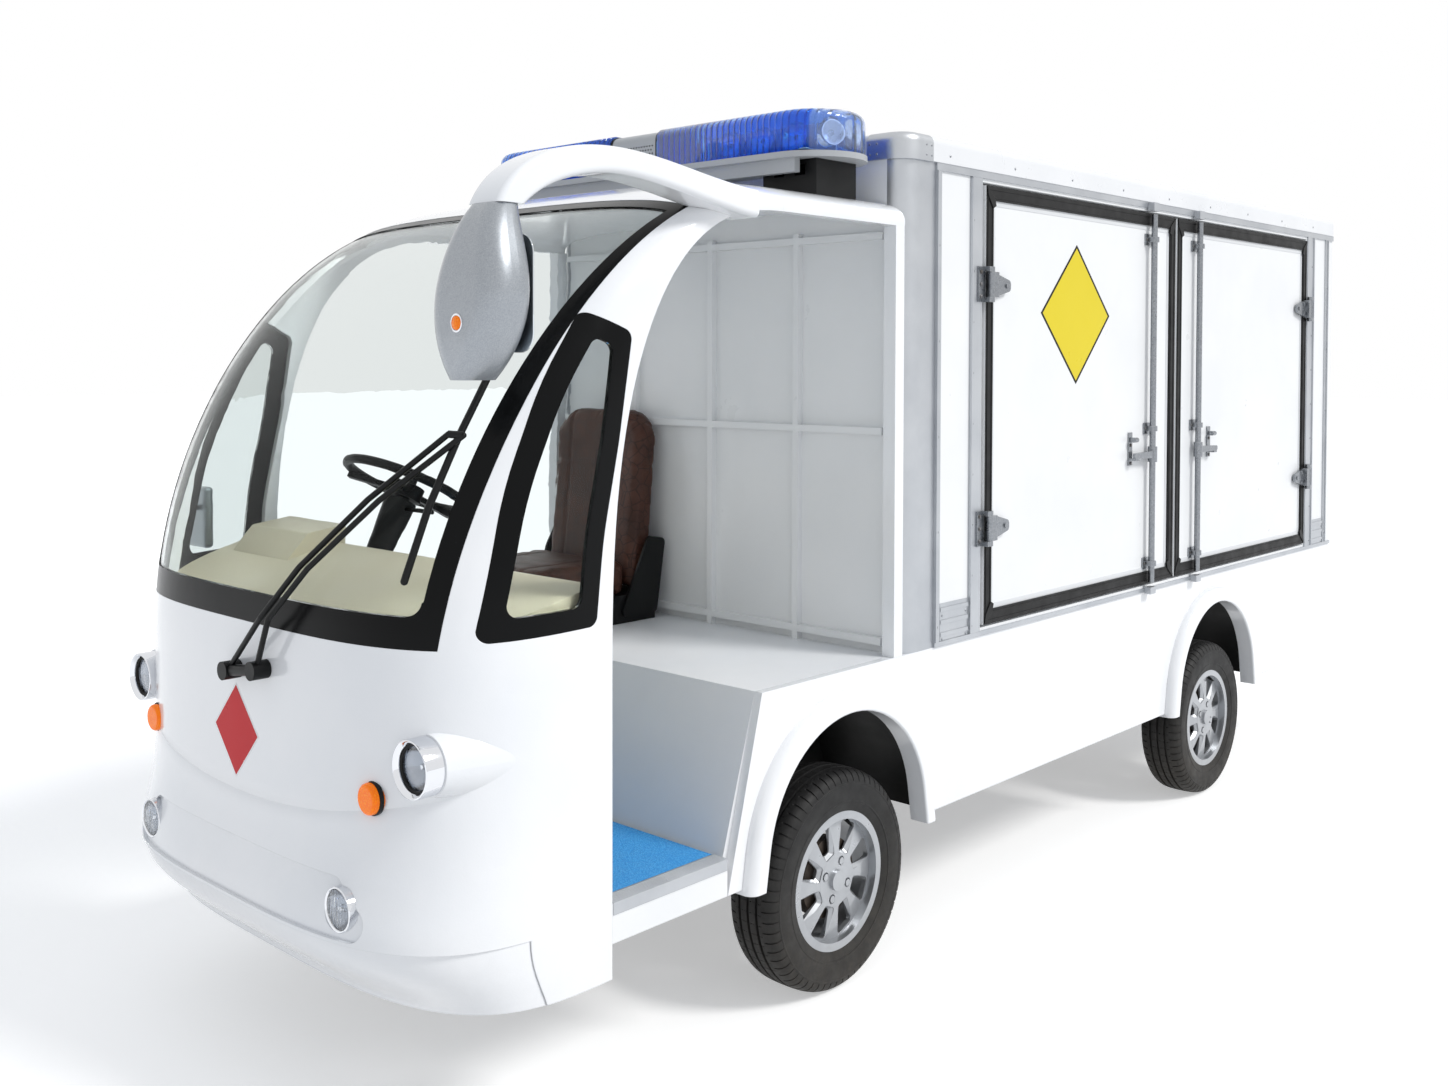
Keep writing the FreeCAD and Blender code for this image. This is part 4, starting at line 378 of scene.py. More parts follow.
def paint_like(name, colour, shade, roughness, dust=0.0, grain=0.00003, grain_scale=420.0, coat=0.0,
               edge=0.0, gleam=0.5):
    """Paint, gel coat or moulded plastic: drifting shade, wandering gloss, fine grain and road dust."""
    finish = Finish(name, roughness, Coat_Weight=coat, Coat_Roughness=0.06, Specular_IOR_Level=gleam)
    body = finish.drift(colour, shade, 2.2, 0.7)
    limits = {"Low": roughness * 0.85, "High": roughness * 1.25}
    gloss = finish.effect("gloss drift", Scale=7.0, **limits)["Roughness"]
    if dust:
        dusty = finish.effect("road dust", Colour=body, High=DUST_TOP, Amount=dust)
        body = dusty["Colour"]
        gloss = math_node(finish.tree, "ADD", gloss, product(finish.tree, dusty["Mask"], 0.5))
    finish.feed("Base Color", body)
    finish.feed("Roughness", gloss)
    finish.grain(grain, grain_scale, 2.5, 0.5, edge)
    return finish


def film_like(name, colour, shade):
    """Thin printed film with a slight sheen."""
    return paint_like(name, colour, shade, 0.3, grain_scale=600.0, gleam=0.12).material


def glass_like(name, tint, shade_tint, clarity=1.45):
    """Clear or tinted glass or plastic. Lamps light what is behind it."""
    finish = Finish(name, 0.0, Transmission_Weight=1.0, IOR=clarity, Base_Color=display(*tint))
    finish.lets_lamps_through(display(*shade_tint))
    return finish.material


def lens_like(name, colour, groove_shade, clearness, painted_glow=0.0):
    """A coloured lamp lens with small prisms in it, their grooves darkened by painted shade."""
    tint = display(*colour)
    # The emission strength is a painted glow that brightens a lens which is not switched on.
    finish = Finish(name, 0.12, Transmission_Weight=clearness, IOR=1.3, Emission_Color=tint,
                    Emission_Strength=painted_glow)
    prisms = cells(finish.tree, object_place(finish.tree), 170.0)["Distance"]
    # Painted shade: the grooves between the prisms take the darker second colour.
    finish.feed("Base Color", finish.mix(map_range(finish.tree, prisms, 0.0, 0.3), groove_shade, colour))
    finish.bump(prisms, 0.0012)
    finish.lets_lamps_through(tint)
    return finish.material


def gel_coat(name):
    """Gloss white gel coat of the moulded shell."""
    return paint_like(name, (243, 244, 246), (233, 236, 240), 0.17, dust=0.18, grain=0.0003,
                      grain_scale=260.0, coat=0.6, edge=0.002)


def white_shell():
    """The shell's plain gel coat."""
    return gel_coat("gloss white gel coat").material


def nose_shell():
    """The shell's gel coat with a shallow moulded valley that curves up across the nose."""
    finish = gel_coat("gloss white gel coat of the nose")
    tree = finish.tree
    place = object_axes(tree)
    square = plain_sum(tree, "MULTIPLY", place["X"], place["X"])
    rise = plain_sum(tree, "MULTIPLY", square, VALLEY_CURVE)
    away = plain_sum(tree, "SUBTRACT", plain_sum(tree, "SUBTRACT", place["Z"], VALLEY_HEIGHT), rise)
    depth = map_range(tree, plain_sum(tree, "ABSOLUTE", away), VALLEY_HALF_WIDTH, 0.0)
    front = map_range(tree, place["Y"], VALLEY_FRONT, VALLEY_FRONT + VALLEY_FADE, 1.0, 0.0)
    finish.bump(product(tree, depth, depth, front), -VALLEY_DEPTH)
    return finish.material


def white_panel():
    """White skin of the box's sandwich panels."""
    return paint_like("white sandwich panel", (238, 239, 240), (229, 231, 233), 0.32, grain=0.00006,
                      grain_scale=500.0, edge=0.0015).material


def roof_paint():
    """White paint of the roof's profiles."""
    return paint_like("white roof profile", (234, 235, 237), (222, 224, 227), 0.3, grain=0.00002,
                      grain_scale=300.0).material


def aluminium_white():
    """White paint of the door panels' edge profiles."""
    return paint_like("white edge profile", (222, 224, 226), (212, 214, 217), 0.34, grain=0.00005,
                      grain_scale=500.0).material


def grey_panel():
    """Pale lining of the cab."""
    return paint_like("pale grey cab lining", (236, 237, 239), (226, 229, 233), 0.34, dust=0.1,
                      grain=0.00008, grain_scale=380.0).material


def black_plastic():
    """Black moulded plastic."""
    return paint_like("black moulded plastic", (15, 16, 17), (24, 25, 26), 0.42, dust=0.12, grain=0.00014,
                      grain_scale=560.0, gleam=0.2).material


def grey_plastic():
    """Grey moulded plastic."""
    return paint_like("grey moulded plastic", (176, 179, 182), (160, 163, 167), 0.36, grain=0.0001,
                      grain_scale=520.0).material


def black_frit():
    """Black border printed round the glazing."""
    return paint_like("black glazing border", (6, 7, 8), (11, 12, 13), 0.22, grain=0.00002,
                      gleam=0.12).material


def beige():
    """Beige vinyl of the seat base and trim."""
    return paint_like("beige vinyl skin", (226, 217, 192), (214, 203, 175), 0.42, grain=0.0002,
                      grain_scale=480.0).material


def white_reflector():
    """White bowl of an end lamp."""
    return paint_like("white lamp bowl", (238, 240, 244), (228, 231, 236), 0.25, coat=0.4).material


def tray():
    """Pale blue floor inside the beacon domes."""
    return paint_like("beacon tray", (120, 158, 200), (96, 132, 180), 0.4).material


def aluminium():
    """Drawn aluminium with fine lines."""
    finish = Finish("satin aluminium", 0.36, 0.9)
    finish.feed("Base Color", finish.drift((190, 193, 197), (168, 172, 178), 5.0, 0.6))
    finish.gloss(0.30, 0.44, 14.0)
    lines = finish.effect("drawn lines", Stretch=(1.0, 0.02, 0.02), Scale=240.0)["Height"]
    finish.bump(lines, 0.00008, edge=0.0012)
    return finish.material


def zinc():
    """Zinc plating with faint spangles, rubbed bright at its edges."""
    finish = Finish("zinc plating", 0.3, 0.95)
    spangle = noise(finish.tree, object_place(finish.tree), 160.0, 3.0)
    plating = finish.mix(spangle, (112, 116, 122), (164, 167, 171))
    rub = finish.effect("edge rub", Radius=0.002, Amount=0.5)["Mask"]
    finish.feed("Base Color", finish.mix(rub, plating, (228, 228, 226)))
    finish.gloss(0.20, 0.42, 60.0)
    finish.grain(0.00006, 700.0, 40.0, 0.5)
    return finish.material


def steel():
    """Machined steel, dusty from the road."""
    finish = Finish("machined steel", 0.38, 0.9)
    colour = finish.drift((138, 138, 140), (96, 90, 84), 30.0, 0.8)
    finish.feed("Base Color", finish.effect("road dust", Colour=colour, High=1.0, Amount=0.5)["Colour"])
    finish.grain(0.0001, 500.0, 30.0, 0.5)
    return finish.material


def silver_paint():
    """Silver paint with small flakes under a clear coat."""
    finish = Finish("silver flake paint", 0.42, 0.85, Coat_Weight=0.7, Coat_Roughness=0.05)
    tree = finish.tree
    flake = cells(tree, object_place(tree), 1600.0, "F1")["Color"]
    grey = add(tree, "ShaderNodeSeparateColor", {0: flake}).outputs[0]
    finish.feed("Base Color", finish.mix(grey, (128, 133, 139), (170, 175, 181)))
    finish.gloss(0.36, 0.46, 10.0)
    finish.grain(0.00003, 900.0, 6.0, 0.1)
    return finish.material


def alloy():
    """Silver paint of the wheels, with brake dust on it."""
    finish = Finish("wheel silver", 0.3, 0.7, Coat_Weight=0.4, Coat_Roughness=0.1)
    colour = finish.drift((178, 181, 185), (156, 159, 164), 9.0, 0.5)
    dust = {"Colour": colour, "High": 0.8, "Amount": 0.35, "Dust_Colour": display(96, 88, 80)}
    finish.feed("Base Color", finish.effect("road dust", **dust)["Colour"])
    finish.gloss(0.26, 0.42, 20.0)
    finish.grain(0.00008, 650.0, 15.0, 0.3)
    return finish.material


def drum_iron():
    """Dull brown iron of the brake drums."""
    finish = Finish("brake drum iron", 0.62, 0.5)
    finish.feed("Base Color", finish.drift((84, 74, 66), (50, 44, 40), 26.0, 0.9))
    finish.grain(0.0003, 300.0, 50.0, 0.5)
    return finish.material


def chassis_paint():
    """Black paint of the running gear, dusty and rubbed at its edges."""
    finish = Finish("black chassis paint", 0.5)
    base = finish.effect("road dust", Colour=display(32, 33, 35), High=1.0, Amount=0.75)
    rub = finish.effect("edge rub", Radius=0.004, Amount=0.7)["Mask"]
    finish.feed("Base Color", finish.mix(rub, base["Colour"], (112, 96, 84)))
    finish.feed("Roughness", math_node(finish.tree, "ADD", base["Mask"], 0.42))
    finish.grain(0.0002, 320.0, 20.0, 0.6)
    return finish.material


def black_rubber():
    """Black rubber of seals and feet."""
    finish = Finish("black rubber", 0.55, Specular_IOR_Level=0.25)
    finish.feed("Base Color", finish.drift((15, 15, 16), (27, 27, 28), 12.0, 0.7))
    finish.gloss(0.42, 0.62, 18.0)
    finish.grain(0.00012, 620.0, 30.0, 0.4)
    return finish.material


def tyre():
    """Tyre rubber with a little road dust."""
    finish = Finish("tyre rubber", 0.6, Specular_IOR_Level=0.3)
    base = finish.drift((24, 24, 25), (36, 36, 36), 14.0, 0.7)
    finish.feed("Base Color", finish.effect("road dust", Colour=base, High=0.62, Amount=0.16)["Colour"])
    finish.gloss(0.5, 0.7, 25.0)
    finish.grain(0.0003, 420.0, 40.0, 0.4)
    return finish.material


def leather():
    """Brown hide of the seats, its creases darkened by painted shade."""
    finish = Finish("brown hide", 0.42, Specular_IOR_Level=0.3)
    hide = finish.effect("hide grain", Scale=480.0, Crease_Scale=26.0)
    colour = finish.drift((80, 48, 36), (55, 32, 25), 8.0, 0.9)
    # Painted shade: the creases are mixed to a dark brown.
    finish.feed("Base Color", finish.mix(hide["Crease"], (46, 26, 20), colour))
    finish.gloss(0.34, 0.52, 11.0)
    finish.bump(hide["Height"], 0.0005)
    return finish.material


def blue_mat():
    """Looped blue floor mat, darker in the hollows between the loops as painted shade."""
    finish = Finish("blue floor mat", 0.6)
    loops = cells(finish.tree, object_place(finish.tree), 240.0, "F1")["Distance"]
    # Painted shade: the hollows between the loops, where the mat lies lower, take the darker blue.
    base = finish.mix(map_range(finish.tree, loops, 0.1, 0.6), (84, 184, 244), (40, 146, 222))
    finish.feed("Base Color", finish.effect("road dust", Colour=base, High=2.5, Amount=0.15)["Colour"])
    finish.bump(loops, -0.0016)
    return finish.material


def chrome():
    """Bright chrome."""
    finish = Finish("bright chrome", 0.06, 1.0, Base_Color=display(224, 226, 230))
    finish.gloss(0.04, 0.12, 40.0)
    return finish.material


def bowl_chrome():
    """Silvering inside a lamp's bowl."""
    return Finish("lamp bowl silver", 0.12, 1.0, Base_Color=display(150, 156, 166)).material


def mirror():
    """Silvering of a mirror."""
    return Finish("mirror silvering", 0.02, 1.0, Base_Color=display(206, 212, 216)).material


def glass():
    """Screen and quarter windows."""
    return glass_like("screen glass", (226, 231, 230), (232, 236, 235), clarity=1.12)


def lamp_glass():
    """Clear lens of a front lamp."""
    return glass_like("clear lamp lens", (244, 246, 248), (240, 242, 244))


def bulb_glass():
    """Thin glass of a bulb."""
    return glass_like("bulb glass", (250, 250, 250), (246, 246, 246))


def blue_lens():
    """Plain blue beacon plastic."""
    return glass_like("blue beacon lens", (60, 112, 240), (200, 216, 250))


def amber():
    """Amber signal lens, brightened by a weak painted glow."""
    return lens_like("amber lens", (255, 142, 18), (240, 104, 4), 0.1, painted_glow=0.22)


def red_lens():
    """Red tail lens."""
    return lens_like("red lens", (196, 18, 14), (130, 6, 6), 0.35)


def blue_dome():
    """Blue beacon dome with upright ribs inside, and a clear end over each end lamp."""
    finish = Finish("blue beacon dome", 0.05, Transmission_Weight=0.92, IOR=1.45)
    tree = finish.tree
    place_x = object_axes(tree)["X"]
    across = plain_sum(tree, "FRACT", plain_sum(tree, "MULTIPLY", place_x, 1.0 / DOME_RIB_PITCH))
    from_middle = plain_sum(tree, "ABSOLUTE", plain_sum(tree, "SUBTRACT", across, 0.5))
    rib = map_range(tree, from_middle, 0.28, 0.5)
    out = plain_sum(tree, "ABSOLUTE", place_x)
    end_lamp = map_range(tree, out, END_LAMP_FROM, END_LAMP_FROM + END_LAMP_FADE)
    colour = finish.mix(rib, (70, 160, 250), (38, 128, 240))
    finish.feed("Base Color", finish.mix(end_lamp, colour, (214, 228, 250)))
    finish.bump(rib, 0.0016)
    finish.lets_lamps_through(display(205, 220, 252))
    return finish.material


def yellow_film():
    """Yellow of the diamond."""
    return film_like("yellow film", (226, 206, 50), (218, 198, 44))


def black_film():
    """Black of thin outlines, and the painted shade of small holes."""
    return film_like("black film", (20, 20, 20), (28, 28, 28))


def red_film():
    """Red of the lozenge."""
    return film_like("red film", (206, 38, 46), (192, 30, 40))


def white_film():
    """White of the lozenge's outline."""
    return film_like("white film", (244, 244, 244), (236, 236, 236))


MATERIALS = {make.__name__: make() for make in (
    white_shell, white_panel, grey_panel, aluminium, zinc, steel, silver_paint, alloy, chassis_paint,
    black_rubber, black_plastic, grey_plastic, glass, lamp_glass, amber, red_lens, blue_lens, beige,
    leather, blue_mat, tyre, nose_shell, roof_paint, black_frit, aluminium_white, chrome, bowl_chrome,
    mirror, bulb_glass, white_reflector, tray, blue_dome, drum_iron, yellow_film, black_film, red_film,
    white_film,
)}
OWN_FINISH = {"front_cowl": "nose_shell", "box_roof": "roof_paint", "glazing_frames": "black_frit"}


def finish_frame_nodes():
    """Gives every node of the frame the finish of its slot, or its own variant of it."""
    for row in frame["record"]["subparts"]:
        node = frame["nodes"][row["node"]]
        node.data.materials.clear()
        node.data.materials.append(MATERIALS[OWN_FINISH.get(row["node"], row["material_slot"])])


# Places and sizes. A plain number is in millimetres, and one with MM is in metres

MM = 0.001
SIDES = {"left": 1, "right": -1}
WHEELS = {"front_left": 1, "front_right": -1, "rear_left": 1, "rear_right": -1}
SKIRT_WALL = 24 * MM
WELL_IN_FRONT = -3000 * MM
FRAME_STRIP = 6 * MM


def middle(node):
    """The middle of a node's box."""
    low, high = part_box(node)
    return (low + high) / 2


FRONT_AXLE = middle("rim_front_left").y
BODY_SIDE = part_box("side_skirt_left")[0].x + SKIRT_WALL
FRAME_FACE = BODY_SIDE + FRAME_STRIP


def behind(distance):
    """Y of a place that lies a distance in millimetres behind the front axle."""
    return FRONT_AXLE + distance * MM


def centre_at(low, high, y):
    """The middle of a box as seen from the front or the back, at a place along Y."""
    return Vector(((low.x + high.x) / 2, y, (low.z + high.z) / 2))


def evenly(first, last, pitch):
    """Places one pitch apart, from the first to the last."""
    return [first + pitch * step for step in range(int((last - first) / pitch) + 1)]


def merged(node):
    """A mesh of a node's shape, its loose triangles joined."""
    shape = bmesh.new()
    shape.from_mesh(frame["nodes"][node].data)
    bmesh.ops.remove_doubles(shape, verts=shape.verts, dist=0.02 * MM)
    shape.verts.index_update()
    return shape


def linked(first):
    """Every vertex that edges join to the first one."""
    found = {first.index: first}
    waiting = [first]
    while waiting:
        vertex = waiting.pop()
        for edge in vertex.link_edges:
            other = edge.other_vert(vertex)
            if other.index not in found:
                found[other.index] = other
                waiting.append(other)
    return found


def solids(node):
    """Lowest and highest corner of each separate solid in a node."""
    shape = merged(node)
    seen = set()
    boxes = []
    for vertex in shape.verts:
        if vertex.index in seen:
            continue
        group = linked(vertex)
        seen.update(group)
        places = [member.co for member in group.values()]
        low = Vector(min(place[axis] for place in places) for axis in range(3))
        high = Vector(max(place[axis] for place in places) for axis in range(3))
        boxes.append((low, high))
    shape.free()
    return boxes


def surface(node):
    """A node's faces, ready for finding where a line meets them."""
    mesh = frame["nodes"][node].data
    corners = [vertex.co.copy() for vertex in mesh.vertices]
    return BVHTree.FromPolygons(corners, [tuple(face.vertices) for face in mesh.polygons])


def seen_from_front(tree, x, z):
    """Where a line from the front, its x and z in millimetres, meets a surface: place and direction."""
    start = Vector((x * MM, WELL_IN_FRONT, z * MM))
    return tree.ray_cast(start, Vector((0.0, 1.0, 0.0)))[:2]


def facing(place, out, up=(0.0, 0.0, 1.0)):
    """Turns local X across, Y up and Z out into the vehicle's own directions, at a place."""
    out = Vector(out).normalized()
    across = Vector(up).cross(out).normalized()
    turn = Matrix((across, out.cross(across), out)).transposed().to_4x4()
    return Matrix.Translation(place) @ turn


def raised(height):
    """A move of a height in millimetres along local Z."""
    return Matrix.Translation((0.0, 0.0, height * MM))


# Outlines

ARC_STEPS = 6


def rectangle(low_x, high_x, low_y, high_y):
    """Corners of a rectangle."""
    return [(low_x, low_y), (high_x, low_y), (high_x, high_y), (low_x, high_y)]


def arc_points(centre, radius, start, end):
    """Points along an arc, its angles in degrees."""
    angles = [math.radians(start + (end - start) * step / ARC_STEPS) for step in range(ARC_STEPS + 1)]
    return [(centre[0] + radius * math.cos(angle), centre[1] + radius * math.sin(angle))
            for angle in angles]


def rounded_outline(half_x, half_y, corner):
    """A rounded rectangle about its middle."""
    points = []
    for x, y, start in ((1, 1, 0.0), (-1, 1, 90.0), (-1, -1, 180.0), (1, -1, 270.0)):
        centre = (x * (half_x - corner), y * (half_y - corner))
        points += arc_points(centre, corner, start, start + 90.0)
    return points


def lozenge(half_x, half_y):
    """Corners of a lozenge that stands on its tip."""
    return [(0.0, -half_y), (half_x, 0.0), (0.0, half_y), (-half_x, 0.0)]


# Making pieces

WELD = 0.005 * MM
AT_ORIGIN = Matrix.Identity(4)


def between(one, other, count):
    """Faces between two rings of points, each ring given by the number of its first point."""
    faces = []
    for first in range(count):
        second = (first + 1) % count
        faces.append((one + first, other + first, other + second, one + second))
    return faces


class Stock:
    """Points and faces gathered for one piece."""

    def __init__(self):
        """Starts with nothing gathered."""
        self.points = []
        self.faces = []

    def add(self, points, faces, place=AT_ORIGIN):
        """Adds a closed form at a place."""
        start = len(self.points)
        self.points += [place @ Vector(point) for point in points]
        self.faces += [[start + corner for corner in face] for face in faces]
        return self

    def turned(self, profile, place=AT_ORIGIN, segments=48):
        """Adds a form turned about its Z axis from a closed (radius, height) outline in millimetres."""
        points = []
        faces = []
        rings = []
        angles = [2 * math.pi * step / segments for step in range(segments)]
        for radius, height in profile:
            rings.append(len(points))
            for angle in (angles if radius else angles[:1]):
                points.append((radius * MM * math.cos(angle), radius * MM * math.sin(angle), height * MM))
        for index, first in enumerate(rings):
            following = (index + 1) % len(rings)
            second = rings[following]
            pole = not profile[index][0]
            next_pole = not profile[following][0]
            steps = [(step, (step + 1) % segments) for step in range(segments)]
            if pole and not next_pole:
                faces += [(first, second + step, second + after) for step, after in steps]
            elif next_pole and not pole:
                faces += [(first + step, second, first + after) for step, after in steps]
            elif not pole:
                faces += between(first, second, segments)
        return self.add(points, faces, place)

    def slab(self, outline, low, high, place=AT_ORIGIN):
        """Adds a plate with an (x, y) outline between two heights."""
        count = len(outline)
        points = [(x, y, z) for z in (low, high) for x, y in outline]
        ends = [list(range(count))[::-1], list(range(count, 2 * count))]
        return self.add(points, ends + between(0, count, count), place)

    def block(self, low, high):
        """Adds a square block between two corners."""
        return self.slab(rectangle(low[0], high[0], low[1], high[1]), low[2], high[2])

    def band(self, outer, inner, low, high, place=AT_ORIGIN):
        """Adds a flat ring between two outlines with as many points, between two heights."""
        count = len(outer)
        points = [(x, y, z) for z in (low, high) for line in (outer, inner) for x, y in line]
        faces = between(0, count, count) + between(2 * count, 3 * count, count)
        faces += between(0, 2 * count, count) + between(count, 3 * count, count)
        return self.add(points, faces, place)

    def mesh(self, name):
        """The gathered form as a mesh with its faces turned outwards."""
        mesh = bpy.data.meshes.new(name)
        mesh.from_pydata(self.points, [], self.faces)
        turn_outwards(mesh, WELD)
        return mesh

    def made(self, name, finish, body, slot, bevel=0.0, sharp=35.0):
        """The gathered form as a piece of the vehicle, its edges rounded where a bevel is given."""
        return placed(self.mesh(name), name, finish, body, bevel, sharp)


def turn_outwards(mesh, weld=0.0):
    """Joins a mesh's doubled points and turns its faces outwards."""
    shape = bmesh.new()
    shape.from_mesh(mesh)
    if weld:
        bmesh.ops.remove_doubles(shape, verts=shape.verts, dist=weld)
    bmesh.ops.recalc_face_normals(shape, faces=shape.faces)
    shape.to_mesh(mesh)
    shape.free()


def smooth_faces(mesh):
    """Shades every face of a mesh smoothly."""
    for face in mesh.polygons:
        face.use_smooth = True


def placed(mesh, name, finish, body, bevel=0.0, sharp=35.0):
    """A mesh as a piece that rides on a body, with its finish."""
    mesh.materials.clear()
    mesh.materials.append(MATERIALS[finish])
    piece = bpy.data.objects.new(name, mesh)
    bpy.context.scene.collection.objects.link(piece)
    smooth_faces(mesh)
    mesh.set_sharp_from_angle(angle=math.radians(sharp))
    if bevel:
        round_edges = piece.modifiers.new("rounded edges", "BEVEL")
        round_edges.width = bevel
        round_edges.segments = 2
        round_edges.limit_method = "ANGLE"
        round_edges.angle_limit = math.radians(sharp)
        round_edges.harden_normals = True
    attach(piece, body)
    return piece


def clone(node, name, finish, body, sharp=35.0):
    """A piece with a node's own shape, its triangles joined, that stands for the node."""
    shape = merged(node)
    mesh = bpy.data.meshes.new(name)
    shape.to_mesh(mesh)
    shape.free()
    piece = placed(mesh, name, finish, body, sharp=sharp)
    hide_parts(node)
    return piece


# Copies grown by geometry trees

def geometry_tree(name, kinds):
    """A geometry tree with named inputs, and the sockets that give them."""
    tree = bpy.data.node_groups.new(name, "GeometryNodeTree")
    for label, kind in kinds.items():
        tree.interface.new_socket(name=label, in_out="INPUT", socket_type="NodeSocket" + kind)
    tree.interface.new_socket(name="Geometry", in_out="OUTPUT", socket_type="NodeSocketGeometry")
    return tree, tree.nodes.new("NodeGroupInput").outputs


def real_copies(tree, points, form, rotation):
    """Copies a form onto points and makes the copies real."""
    values = {"Points": points, "Instance": form, "Rotation": rotation}
    copies = add(tree, "GeometryNodeInstanceOnPoints", values).outputs["Instances"]
    return add(tree, "GeometryNodeRealizeInstances", {"Geometry": copies}).outputs["Geometry"]


def end_tree(tree, geometry, finish):
    """Ends a geometry tree with its finish."""
    values = {"Geometry": geometry, "Material": finish}
    finished = add(tree, "GeometryNodeSetMaterial", values).outputs["Geometry"]
    end = tree.nodes.new("NodeGroupOutput")
    tree.links.new(finished, end.inputs["Geometry"])
    return tree


def copies_tree():
    """Copies one small form onto every point of a mesh, each facing out and turned at random."""
    kinds = {"Points": "Geometry", "Form": "Object", "Turn": "Float", "Seed": "Int", "Finish": "Material"}
    tree, given = geometry_tree("copies on points", kinds)
    out = add(tree, "GeometryNodeInputNamedAttribute", {"Name": "out"}, data_type="FLOAT_VECTOR")
    upright = add(tree, "FunctionNodeAlignRotationToVector", {"Vector": out.outputs["Attribute"]}, axis="Z")
    values = {3: given["Turn"], "Seed": given["Seed"]}
    chance = add(tree, "FunctionNodeRandomValue", values, data_type="FLOAT").outputs[1]
    spin = add(tree, "ShaderNodeCombineXYZ", {"Z": chance}).outputs[0]
    values = {"Rotation": upright.outputs["Rotation"], "Rotate By": spin}
    turned = add(tree, "FunctionNodeRotateRotation", values, rotation_space="LOCAL").outputs["Rotation"]
    form = add(tree, "GeometryNodeObjectInfo", {"Object": given["Form"]}).outputs["Geometry"]
    return end_tree(tree, real_copies(tree, given["Points"], form, turned), given["Finish"])


def ring_tree():
    """Copies one pitch of a wheel round the X axis and joins the copies edge to edge."""
    kinds = {"Pitch": "Geometry", "Count": "Int", "Weld": "Float", "Finish": "Material"}
    tree, given = geometry_tree("ring of pitches", kinds)
    spots = add(tree, "GeometryNodeMeshLine", {"Count": given["Count"], "Offset": (0.0, 0.0, 0.0)})
    index = tree.nodes.new("GeometryNodeInputIndex").outputs[0]
    share = plain_sum(tree, "DIVIDE", index, given["Count"])
    angle = plain_sum(tree, "MULTIPLY", share, 2 * math.pi)
    turn = add(tree, "ShaderNodeCombineXYZ", {"X": angle}).outputs[0]
    ring = real_copies(tree, spots.outputs["Mesh"], given["Pitch"], turn)
    values = {"Geometry": ring, "Distance": given["Weld"]}
    whole = add(tree, "GeometryNodeMergeByDistance", values).outputs["Geometry"]
    return end_tree(tree, whole, given["Finish"])


def grown(mesh, tree, values):
    """The plain mesh that a geometry tree makes from a mesh, with the tree's inputs given by name."""
    holder = bpy.data.objects.new("holder", mesh)
    bpy.context.scene.collection.objects.link(holder)
    modifier = holder.modifiers.new("tree", "NODES")
    modifier.node_group = tree
    for item in tree.interface.items_tree:
        if item.in_out == "INPUT" and item.name in values:
            modifier[item.identifier] = values[item.name]
    result = evaluated(holder)
    holder.modifiers.clear()
    bpy.data.objects.remove(holder)
    return result


def evaluated(piece):
    """A new mesh of a piece as its modifiers leave it."""
    bpy.context.view_layer.update()
    graph = bpy.context.evaluated_depsgraph_get()
    return bpy.data.meshes.new_from_object(piece.evaluated_get(graph), depsgraph=graph)


COPIES = copies_tree()
RING = ring_tree()


def copied(name, form, spots, finish, body, sharp=50.0):
    """Small forms copied onto spots, each a place and an outward direction, as one piece."""
    points = bpy.data.meshes.new(name + " spots")
    points.from_pydata([place for place, out in spots], [], [])
    outs = points.attributes.new("out", "FLOAT_VECTOR", "POINT")
    outs.data.foreach_set("vector", [value for place, out in spots for value in out])
    pattern = bpy.data.objects.new(name + " form", form.mesh(name + " form"))
    bpy.context.scene.collection.objects.link(pattern)
    values = {"Form": pattern, "Turn": 2 * math.pi, "Seed": len(spots), "Finish": MATERIALS[finish]}
    mesh = grown(points, COPIES, values)
    bpy.data.objects.remove(pattern)
    return placed(mesh, name, finish, body, sharp=sharp)


FOOT = -0.3
WASHER = 1.35
WASHER_HEIGHT = 1.2
FRAME_RIVET = (4.5, 2.0)
KICK_RIVET = (4.0, 2.0)
CAP_RIVET = (3.6, 1.6)
HINGE_BOLT = (5.0, 4.0)
ROD_BOLT = (4.5, 3.5)


def rivet(radius, height):
    """Domed rivet head, its foot a little below the surface, in millimetres."""
    dome = [(0.0, height), (radius * 0.6, height * 0.8), (radius * 0.92, height * 0.35)]
    return Stock().turned(dome + [(radius, FOOT), (0.0, FOOT)], segments=10)


def bolt(radius, height):
    """Hexagon bolt head with a rounded top, on a washer, in millimetres."""
    washer = radius * WASHER
    form = Stock()
    form.turned([(0.0, WASHER_HEIGHT), (washer, WASHER_HEIGHT), (washer, FOOT), (0.0, FOOT)], segments=16)
    crown = [(0.0, height), (radius * 0.82, height), (radius, height * 0.85), (radius, 0.5), (0.0, 0.5)]
    form.turned(crown, segments=6)
    return form


def side_spots(side, out, places):
    """Spots on the vehicle's side that face outwards, from distances behind the axle and heights."""
    return [(Vector((side * out, behind(distance), z * MM)), (side, 0.0, 0.0)) for distance, z in places]


# Box body: rivets and bolts, by their places behind the front axle and above the ground

STRIP_TOP = 2170.0
STRIP_RIVETS = (
    {"at": 421.5, "pitch": 270.0, "from": 900.0},
    {"at": 599.0, "pitch": 148.0, "from": 880.0},
    {"at": 3275.0, "pitch": 148.0, "from": 880.0},
    {"at": 3453.0, "pitch": 270.0, "from": 900.0},
)
RAIL_FROM = 470.0
RAIL_TO = 3480.0
RAIL_PITCH = 350.0
RAIL_Z = 2234.0
KICK_PANELS = ((440.0, 582.0), (3302.0, 3434.0))
KICK_BOLT_INSET = 10.0
KICK_BOLT_Z = (862.5, 929.5)
KICK_PANEL_PROUD = 3 * MM
BOX_MIDDLE = 1900.0
HINGE_PLATE = 5 * MM
HINGE_BOLT_INSET = 13 * MM
HINGE_BOLT_PITCH = 36 * MM


